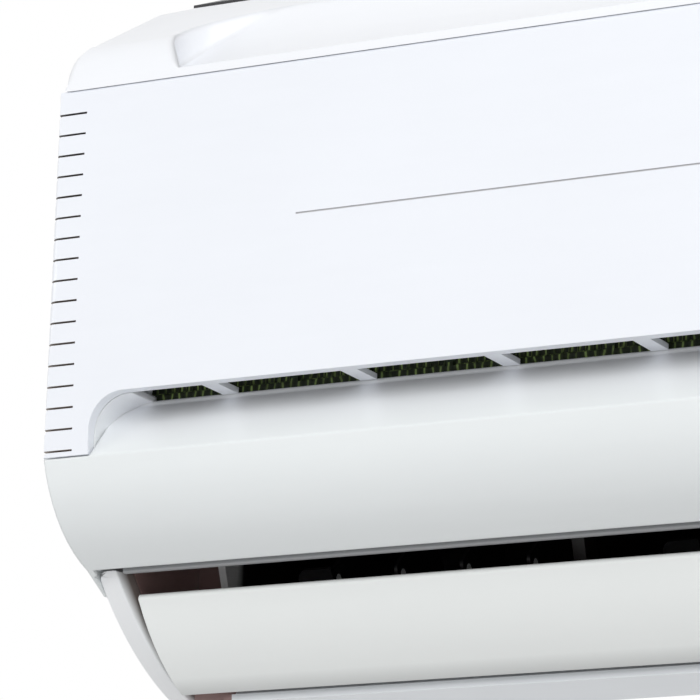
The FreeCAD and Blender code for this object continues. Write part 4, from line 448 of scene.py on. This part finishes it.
def slot_shadow(name, low, high):
    """Rib slots: darker the higher they sit."""
    material, tree = new_material(name)
    place = tree.place()
    height = tree.span(tree.axes(place)["Z"], levels(RIB_LEVELS))
    tone = tree.mix(height, drifted(tree, place, low, drift=0.1), drifted(tree, place, high, drift=0.1))
    mould_skin(tree, place, tone, rough=0.6, grain=GRAIN)
    return material


# Metals and the circuit board
DULL_SCALE = 26
DULL_STOPS = (0.3, 0.62, 0.8)
DULL_SHADES = (0.78, 1.0, 1.08)
SCRATCH_SMOOTHER = 0.08
SCRATCH_ROUGHER = 0.14
SCRATCH_DEPTH = 0.0003
SPANGLE_SCALE = 120.0
SPANGLE_TONES = [(0.0, (0.42, 0.44, 0.46)), (1.0, (0.62, 0.64, 0.66))]
SPANGLE_ROUGH = (0.3, 0.5)
SHEET_GRAIN = 700
FIN_SCALE = 240.0
FIN_TONES = [(0.0, (0.015, 0.02, 0.022)), (0.55, (0.16, 0.18, 0.19)), (0.9, (0.62, 0.66, 0.68))]
FIN_HAZE = 60
FIN_ROUGH = (0.32, 0.5)
FIN_DEPTH = 0.0008
TRACK_SCALE = 160.0
TRACK_TONES = [(0.04, (0.02, 0.11, 0.04)), (0.1, (0.01, 0.055, 0.02)), (0.5, (0.012, 0.07, 0.026))]
TRACK_BAND = (0, 0.3)
TRACK_ROUGH = (0.3, 0.4)
TRACK_DEPTH = 0.0003


def metal(name, colour, rough, scratch_scale, along=(1, 1, 1)):
    """Metal with fine drawn scratches and patches of duller skin."""
    material, tree = new_material(name)
    place = tree.place()
    scratch = tree.noise(tree.stretch(place, along), scratch_scale, detail=3, rough=0.65)
    patch = tree.noise(place, DULL_SCALE, detail=4)
    tree.finish(
        Base_Color=tree.ramp(patch, zip(DULL_STOPS, [shade(colour, factor) for factor in DULL_SHADES])),
        Metallic=1.0,
        Roughness=tree.span(scratch, NOISE_BAND, (rough - SCRATCH_SMOOTHER, rough + SCRATCH_ROUGHER)),
        Normal=tree.bump(scratch, strength=0.08, distance=SCRATCH_DEPTH),
    )
    return material


def galvanised(name):
    """Zinc-coated sheet with its crystal spangle."""
    material, tree = new_material(name)
    place = tree.place()
    crystals = tree.add("ShaderNodeTexVoronoi", {"Vector": place, "Scale": SPANGLE_SCALE})
    tint = tree.add("ShaderNodeSeparateColor", {"Color": crystals.outputs["Color"]}).outputs["Red"]
    tree.finish(
        Base_Color=tree.ramp(tint, SPANGLE_TONES),
        Metallic=1.0,
        Roughness=tree.span(tint, (0, 1), SPANGLE_ROUGH),
        Normal=tree.bump(tree.noise(place, SHEET_GRAIN), strength=0.05, distance=GRAIN_DEPTH),
    )
    return material


def finned(name):
    """Coil face: thin aluminium fins, edge on, with shadow between them."""
    material, tree = new_material(name)
    place = tree.place()
    edge = tree.bands(place, FIN_SCALE, distortion=0.25, detail_scale=0.4)
    tree.finish(
        Base_Color=tree.ramp(edge, FIN_TONES),
        Metallic=0.8,
        Roughness=tree.span(tree.noise(place, FIN_HAZE, detail=3), NOISE_BAND, FIN_ROUGH),
        Normal=tree.bump(edge, strength=0.7, distance=FIN_DEPTH),
    )
    return material


def circuit(name):
    """Circuit board: green lacquer over copper tracks."""
    material, tree = new_material(name)
    place = tree.place()
    inputs = {"Vector": place, "Scale": TRACK_SCALE, "Randomness": 0.6}
    cells = tree.add("ShaderNodeTexVoronoi", inputs, feature="DISTANCE_TO_EDGE").outputs["Distance"]
    tree.finish(
        Base_Color=tree.ramp(cells, TRACK_TONES),
        Roughness=tree.span(cells, TRACK_BAND, TRACK_ROUGH),
        Normal=tree.bump(cells, strength=0.2, distance=TRACK_DEPTH),
        Coat_Weight=0.3,
    )
    return material


# Colours
PANEL = srgb(237, 240, 246)
CASING = srgb(241, 243, 247)
BULGE = srgb(239, 243, 244)
CHEEK = srgb(250, 252, 254)
# Painted shade for the cheeks' slanted side next to the flap
CHEEK_SHADE = (0.16, 0.13, 0.12)
FLAP = srgb(249, 252, 251)
STRIP = srgb(240, 244, 248)
SLOT_LOW = (0.42, 0.36, 0.32)
SLOT_HIGH = (0.07, 0.06, 0.055)
# Painted shade inside the panel's decor groove
GROOVE_SHADE = (0.52, 0.52, 0.54)
# Duct: dark plastic, with painted shade inside the outlet
DUCT_DARK_AND_SHADE = (0.008, 0.006, 0.006)
POST = (0.88, 0.88, 0.88)
POCKET = (0.3, 0.19, 0.18)
RAIL = (0.3, 0.31, 0.32)
DARK = (0.018, 0.018, 0.02)
# Vanes: painted shade inside the duct, and a painted lit corner
VANE_SHADE = (0.008, 0.008, 0.009)
VANE_LIT_TIP = (0.8, 0.81, 0.81)
TRAY = (0.012, 0.011, 0.011)
INNER = (0.55, 0.56, 0.57)
FILTER = (0.03, 0.05, 0.025)
# Painted shade behind the filter net's threads
NET_SHADE = (0.01, 0.018, 0.006)
NET_PALE = (0.4, 0.55, 0.18)
THREAD_DARK = (0.02, 0.04, 0.008)
THREAD_PALE = (0.3, 0.4, 0.14)
FAN = (0.022, 0.022, 0.024)
RUBBER = (0.015, 0.015, 0.015)
COPPER = (0.72, 0.36, 0.22)
BRASS = (0.78, 0.58, 0.27)
CAN = (0.36, 0.37, 0.38)
STEEL = (0.6, 0.6, 0.61)

# Materials, and the one that each node gets
materials = {
    "panel": moulded("panel_plastic", PANEL, rough=0.3, coat=0.15),
    "slot": slot_shadow("slot_shadow", SLOT_LOW, SLOT_HIGH),
    "groove": moulded("groove_painted_shade", GROOVE_SHADE, rough=0.5, drift=0.05),
    "casing": casing_plastic("casing_plastic", CASING, BULGE),
    "lip": moulded("lip_plastic", CASING, CASING_ROUGH, CASING_GRAIN),
    "cheek": cheek_plastic("cheek_plastic", CHEEK, CHEEK_SHADE),
    "flap": flap_plastic("flap_plastic", FLAP),
    "chassis": chassis_plastic("chassis_plastic", DUCT_DARK_AND_SHADE, POST, POCKET, STRIP),
    "block": moulded("block_plastic", POCKET, rough=0.45, drift=0.15),
    "rail": moulded("rail_plastic", RAIL, rough=0.4, drift=0.05),
    "dark": moulded("dark_plastic", DARK, rough=0.4, grain=0.08, drift=0.1),
    "vane": vane_plastic("vane_plastic", VANE_SHADE, VANE_LIT_TIP),
    "tray": moulded("tray_plastic", TRAY, rough=0.5, grain=0.08, drift=0.08),
    "inner": moulded("inner_plastic", INNER, rough=0.42, grain=0.06, drift=0.04),
    "filter": frame_plastic("filter_plastic", FILTER, NET_SHADE, NET_PALE),
    "fan": moulded("fan_plastic", FAN, rough=0.45, grain=0.06, drift=0.1),
    "rubber": moulded("bush_rubber", RUBBER, rough=0.75, grain=0.12, drift=0.1),
    "net": netting("filter_net", THREAD_DARK, THREAD_PALE),
    "net_shadow": net_shadow("filter_shadow", NET_SHADE, NET_PALE),
    "fins": finned("coil_fins"),
    "sheet": galvanised("sheet_steel"),
    "copper": metal("copper", COPPER, rough=0.28, scratch_scale=260),
    "brass": metal("nut_brass", BRASS, rough=0.26, scratch_scale=320),
    "motor": metal("motor_can", CAN, rough=0.38, scratch_scale=420, along=(1, 8, 8)),
    "shaft": metal("shaft_steel", STEEL, rough=0.22, scratch_scale=520, along=(12, 1, 1)),
    "board": circuit("circuit_board"),
}

FINISHES = {
    "front_panel": "panel", "front_casing": "casing", "left_cheek": "cheek", "right_cheek": "cheek",
    "left_end_block": "block", "right_end_block": "block", "outlet_rail": "rail", "flap": "flap",
    "rear_chassis": "chassis", "drain_tray": "tray", "flap_motor": "motor", "fan_wheel": "fan",
    "fan_stub_shaft": "shaft", "motor_shaft": "shaft", "bearing_holder": "inner", "bearing_bush": "rubber",
    "fan_motor": "motor", "motor_clamp": "inner", "clamp_screws": "shaft", "coil_lower": "fins",
    "coil_upper": "fins", "coil_rear": "fins", "coil_plate_left": "sheet", "coil_plate_right": "sheet",
    "coil_tubes": "copper", "left_filter_frame": "filter", "right_filter_frame": "filter",
    "left_filter_mesh": "net_shadow", "right_filter_mesh": "net_shadow", "top_grille": "dark",
    "wall_plate": "sheet", "control_box": "dark", "control_board": "board", "control_box_cover": "sheet",
    "terminal_block": "dark", "gas_pipe": "copper", "liquid_pipe": "copper", "flare_nuts": "brass",
    "pipe_clamp": "inner",
}


def dress():
    """Give each CAD node its material; the vanes and tie bars share one."""
    for name, thing in nodes.items():
        thing.data.materials.clear()
        thing.data.materials.append(materials[FINISHES.get(name, "vane")])


# Shading of the CAD nodes: smooth round stretches, crisp or softly rounded edges
SMOOTH_ANGLE = math.radians(30)
FLAT_ANGLE = math.radians(0.15)
WELD_GAP = 0.001
BEVEL_STEPS = 3
BEVEL_WIDTHS = {"front_panel": 0.1, "flap": 0.5, "left_cheek": 0.5, "right_cheek": 0.5}


def smooth(thing):
    """Shade the round faces smoothly in place of the stored normals."""
    mesh = thing.data
    for stored in ("custom_normal", "sharp_edge", "sharp_face"):
        if stored in mesh.attributes:
            mesh.attributes.remove(mesh.attributes[stored])
    mesh.polygons.foreach_set("use_smooth", [True] * len(mesh.polygons))
    weld = thing.modifiers.new("weld", "WELD")
    weld.merge_threshold = WELD_GAP * MM


def crisp(thing):
    """Keep edges sharper than the smooth angle."""
    split = thing.modifiers.new("split", "EDGE_SPLIT")
    split.split_angle = SMOOTH_ANGLE
    thing.modifiers.new("normals", "WEIGHTED_NORMAL")


def soften(thing, width):
    """Round sharp edges a little, as a mould does."""
    flat = thing.modifiers.new("flat", "DECIMATE")
    flat.decimate_type = "DISSOLVE"
    flat.angle_limit = FLAT_ANGLE
    flat.delimit = {"MATERIAL"}
    bevel = thing.modifiers.new("bevel", "BEVEL")
    bevel.width = width
    bevel.segments = BEVEL_STEPS
    bevel.limit_method = "ANGLE"
    bevel.angle_limit = SMOOTH_ANGLE
    bevel.use_clamp_overlap = False
    thing.modifiers.new("normals", "WEIGHTED_NORMAL")


def shade_nodes():
    for name, thing in nodes.items():
        smooth(thing)
        if name in BEVEL_WIDTHS:
            soften(thing, BEVEL_WIDTHS[name] * MM)
        else:
            crisp(thing)


# Front panel: painted shadow inside the rib slots, painted grey shade inside the decor groove
# A slot's faces are told by their place, by how they face and by their height
RIB_REACH = 13
RIB_SIDES_FACE = 0.9
RIB_ENDS_FACE = 0.3
RIB_GAP_MOST = 1
GROOVE_LEVELS = (161.0, 161.6)
NEARLY = 0.03
SLOT_INDEX = 1
GROOVE_INDEX = 2


def in_groove(points):
    low, high = levels(GROOVE_LEVELS)
    return all(low - NEARLY * MM < p.z < high + NEARLY * MM for p in points)


def in_rib_slot(points, normal):
    """A face of a slot: one of its upper and lower sides, or one of its narrow ends."""
    middle = sum(points, Vector()) / len(points)
    at_end = min(middle.x - cad_box[0].x, cad_box[1].x - middle.x) < (RIB_REACH + NEARLY) * MM
    tall = max(p.z for p in points) - min(p.z for p in points)
    narrow_end = abs(normal.y) < RIB_ENDS_FACE and tall < RIB_GAP_MOST * MM
    low, high = levels(RIB_LEVELS)
    return at_end and (abs(normal.z) > RIB_SIDES_FACE or narrow_end) and low < middle.z < high


def shade_panel_slots():
    mesh = nodes["front_panel"].data
    mesh.materials.append(materials["slot"])
    mesh.materials.append(materials["groove"])
    for polygon in mesh.polygons:
        points = [mesh.vertices[i].co for i in polygon.vertices]
        if in_rib_slot(points, polygon.normal):
            polygon.material_index = SLOT_INDEX
        elif in_groove(points):
            polygon.material_index = GROOVE_INDEX


# Pieces made here
def new_piece(name, verts, faces, material, body, slot):
    mesh = bpy.data.meshes.new(name)
    mesh.from_pydata(verts, [], faces)
    mesh.polygons.foreach_set("use_smooth", [True] * len(faces))
    mesh.materials.append(materials[material])
    piece = bpy.data.objects.new(name, mesh)
    scene.collection.objects.link(piece)
    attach(piece, body)
    return piece


def loft(rings):
    """Closed rings of points joined in order, with a cap at each end."""
    count = len(rings[0])
    verts = [point for ring in rings for point in ring]
    faces = [tuple(range(count - 1, -1, -1)), tuple(range(len(verts) - count, len(verts)))]
    for r in range(len(rings) - 1):
        for i in range(count):
            k = (i + 1) % count
            base = r * count
            faces.append((base + i, base + k, base + count + k, base + count + i))
    return verts, faces


# Shoulder lip: closes the casing's shoulder down on to the panel's hinge bead
# Points are behind the casing's front and above the foot; the taper is inset and share of the section
HINGE = (3.0, 218.9)
LIP_FACE = [(0.5, 224.6), (0.3, 223.4), (0.18, 222.4), (0.12, 221.5), (0.14, 221.05)]
LIP_RADIUS = 3.1
LIP_ANGLES = (124, 117, 110)
LIP_ROOT = (1.9, 222.5)
LIP_BACK = (1.9, 224.6)
LIP_TAPER = ((1.6, 0.15), (3.0, 0.7), (5.5, 1.0))


def lip_section():
    """Down the front, back under along the bead, and up inside the casing."""
    section = list(LIP_FACE)
    for angle in LIP_ANGLES:
        turn = math.radians(angle)
        section.append((HINGE[0] + LIP_RADIUS * math.cos(turn), HINGE[1] + LIP_RADIUS * math.sin(turn)))
    return section + [LIP_ROOT, LIP_BACK]


def shoulder_lip():
    """The section along the whole unit, drawn in towards its root at both ends."""
    width = (cad_box[1].x - cad_box[0].x) / MM
    stations = list(LIP_TAPER) + [(width - inset, share) for inset, share in reversed(LIP_TAPER)]
    rings = []
    for x, share in stations:
        ring = []
        for back, level in lip_section():
            back = LIP_ROOT[0] + (back - LIP_ROOT[0]) * share
            level = LIP_ROOT[1] + (level - LIP_ROOT[1]) * share
            ring.append((from_left(x), behind(back), above(level)))
        rings.append(ring)
    piece = new_piece("shoulder_lip", *loft(rings), "lip", "unit", "casing_plastic")
    crisp(piece)


# Filter nets: threads along the curved filter and across it
NET_PITCH = 3.1
NET_THREAD = 0.34
NET_AHEAD = 0.35
NET_MARGIN = 1
NET_STRAY = 0.4
NET_SWAY = 0.2
NET_SEED = 7
FILTER_BEND = 198
FILTER_ROUND = 25
FILTER_STEPS = 5
FILTER_TOP = (86, 270)


def filter_line(lowest, front):
    """The filter's side line: up from the alcove, round the bend, back to the top."""
    lean = math.atan2(FILTER_TOP[0] - front, FILTER_TOP[1] - FILTER_BEND)
    start = FILTER_ROUND * math.tan(lean / 2)
    line = [(front, lowest), (front, FILTER_BEND - start)]
    for k in range(1, FILTER_STEPS + 1):
        turn = lean * k / FILTER_STEPS
        line.append((front + FILTER_ROUND * (1 - math.cos(turn)),
                     FILTER_BEND - start + FILTER_ROUND * math.sin(turn)))
    return line + [FILTER_TOP]


def along_line(line, pitch):
    """Points on a line, evenly spaced."""
    spots = []
    carried = 0
    for (y0, z0), (y1, z1) in zip(line, line[1:]):
        length = math.hypot(y1 - y0, z1 - z0)
        while carried < length:
            share = carried / length
            spots.append((y0 + (y1 - y0) * share, z0 + (z1 - z0) * share))
            carried += pitch
        carried -= length
    return spots


def thread(points):
    """A square thread through points."""
    half = NET_THREAD / 2 * MM
    straight = Vector(points[-1]) - Vector(points[0])
    across = (0, 1) if abs(straight.x) < abs(straight.z) else (1, 2)
    rings = []
    for point in points:
        ring = []
        for first, second in ((-1, -1), (1, -1), (1, 1), (-1, 1)):
            corner = Vector(point)
            corner[across[0]] += first * half
            corner[across[1]] += second * half
            ring.append(corner)
        rings.append(ring)
    return loft(rings)


def filter_net(side):
    low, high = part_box(side + "_filter_mesh")
    lowest = (low.z - cad_box[0].z) / MM
    front = (low.y - cad_box[0].y) / MM - PANEL_CROWN - NET_AHEAD
    line = filter_line(lowest, front)
    uneven = random.Random(NET_SEED)
    verts, faces = [], []

    def join(points):
        more_verts, more_faces = thread(points)
        base = len(verts)
        verts.extend(more_verts)
        faces.extend(tuple(i + base for i in face) for face in more_faces)

    count = int((high.x - low.x) / MM / NET_PITCH)
    for i in range(1, count):
        x = low.x + i * NET_PITCH * MM + uneven.uniform(-NET_STRAY, NET_STRAY) * MM
        join([(x + uneven.uniform(-NET_SWAY, NET_SWAY) * MM, behind(y), above(z)) for y, z in line])
    ends = (low.x + NET_MARGIN * MM, high.x - NET_MARGIN * MM)
    for y, z in along_line(line, NET_PITCH)[1:-1]:
        join([(x, behind(y + NET_THREAD), above(z)) for x in ends])
    piece = new_piece(side + "_filter_net", verts, faces, "net", "unit", "filter_net")
    crisp(piece)


# Light: soft lamps on the room side, each with its place, size and watts, and a pale world
LAMP_TARGET = Vector((-0.25, -0.15, 0))
LAMPS = (
    ("key", (1.1, -2.5, 0.8), (1.5, 1.5), 36),
    ("side", (-2.6, -1.6, 0.3), (1.5, 1.5), 17),
    ("top", (-0.25, -2.2, 1.9), (1.2, 1.2), 6),
    ("fill", (0.9, -2.5, -0.75), (1.2, 1.2), 5),
)
# The world's light from below, from the sides and from above
WORLD_STOPS = (0.0, 0.5, 1.0)
WORLD_LEVELS = (0.66, 0.38, 0.6)


def area_lamp(name, place, size, power):
    data = bpy.data.lights.new(name, "AREA")
    data.shape = "RECTANGLE"
    data.size, data.size_y = size
    data.energy = power
    lamp = bpy.data.objects.new(name, data)
    lamp.location = place
    lamp.rotation_euler = (LAMP_TARGET - Vector(place)).to_track_quat("-Z", "Y").to_euler()
    scene.collection.objects.link(lamp)


def grey(level):
    return (level, level, level)


def make_world():
    """Pale light from all round, weakest from the sides; white where a ray sees past the unit."""
    world = bpy.data.worlds.new("studio")
    scene.world = world
    tree = Tree(world)
    height = tree.axes(tree.add("ShaderNodeTexCoord").outputs["Generated"])["Z"]
    sky = tree.ramp(tree.span(height, (-1, 1)), zip(WORLD_STOPS, [grey(level) for level in WORLD_LEVELS]))
    soft = tree.add("ShaderNodeBackground", {"Color": sky, "Strength": 1.0}).outputs[0]
    white = tree.add("ShaderNodeBackground", {"Color": grey(1), "Strength": 1.0}).outputs[0]
    path = tree.add("ShaderNodeLightPath").outputs
    seen = tree.sums("MAXIMUM", path["Is Camera Ray"], path["Is Glossy Ray"])
    seen = tree.sums("MAXIMUM", seen, path["Is Transmission Ray"])
    surface = tree.add("ShaderNodeMixShader", {0: seen, 1: soft, 2: white})
    tree.add("ShaderNodeOutputWorld", {"Surface": surface.outputs[0]})


# Floor: as far below the unit as it hangs; the fade is by distance from the unit's middle
FLOOR_DROP = 2.0
FLOOR_REACH = 3.0
FLOOR_FADE = (1.35, 2.85)
FLOOR_SPECKLE = 30
FLOOR_TONES = (0.78, 0.83)


def make_floor():
    """A plain pale floor that fades to white."""
    drop = cad_box[0].z - FLOOR_DROP
    corners = [(x * FLOOR_REACH, y * FLOOR_REACH, drop) for x, y in ((-1, -1), (1, -1), (1, 1), (-1, 1))]
    mesh = bpy.data.meshes.new("floor")
    mesh.from_pydata(corners, [], [(0, 1, 2, 3)])
    floor = bpy.data.objects.new("floor", mesh)
    scene.collection.objects.link(floor)
    material, tree = new_material("floor_paint")
    place = tree.place()
    away = tree.add("ShaderNodeVectorMath", {0: place}, operation="LENGTH").outputs["Value"]
    fade = tree.span(away, FLOOR_FADE)
    tones = [grey(level) for level in FLOOR_TONES]
    speckle = tree.ramp(tree.noise(place, FLOOR_SPECKLE, detail=3), zip(NOISE_BAND, tones))
    paint = tree.add("ShaderNodeBsdfPrincipled", {"Base Color": speckle, "Roughness": 0.6}).outputs[0]
    clear = tree.add("ShaderNodeBsdfTransparent").outputs[0]
    surface = tree.add("ShaderNodeMixShader", {0: fade, 1: paint, 2: clear})
    tree.add("ShaderNodeOutputMaterial", {"Surface": surface.outputs[0]})
    mesh.materials.append(material)


scene.view_settings.view_transform = "Standard"
make_camera()
make_world()
make_floor()
dress()
shade_panel_slots()
shade_nodes()
shoulder_lip()
for side in ("left", "right"):
    filter_net(side)
for lamp in LAMPS:
    area_lamp(*lamp)
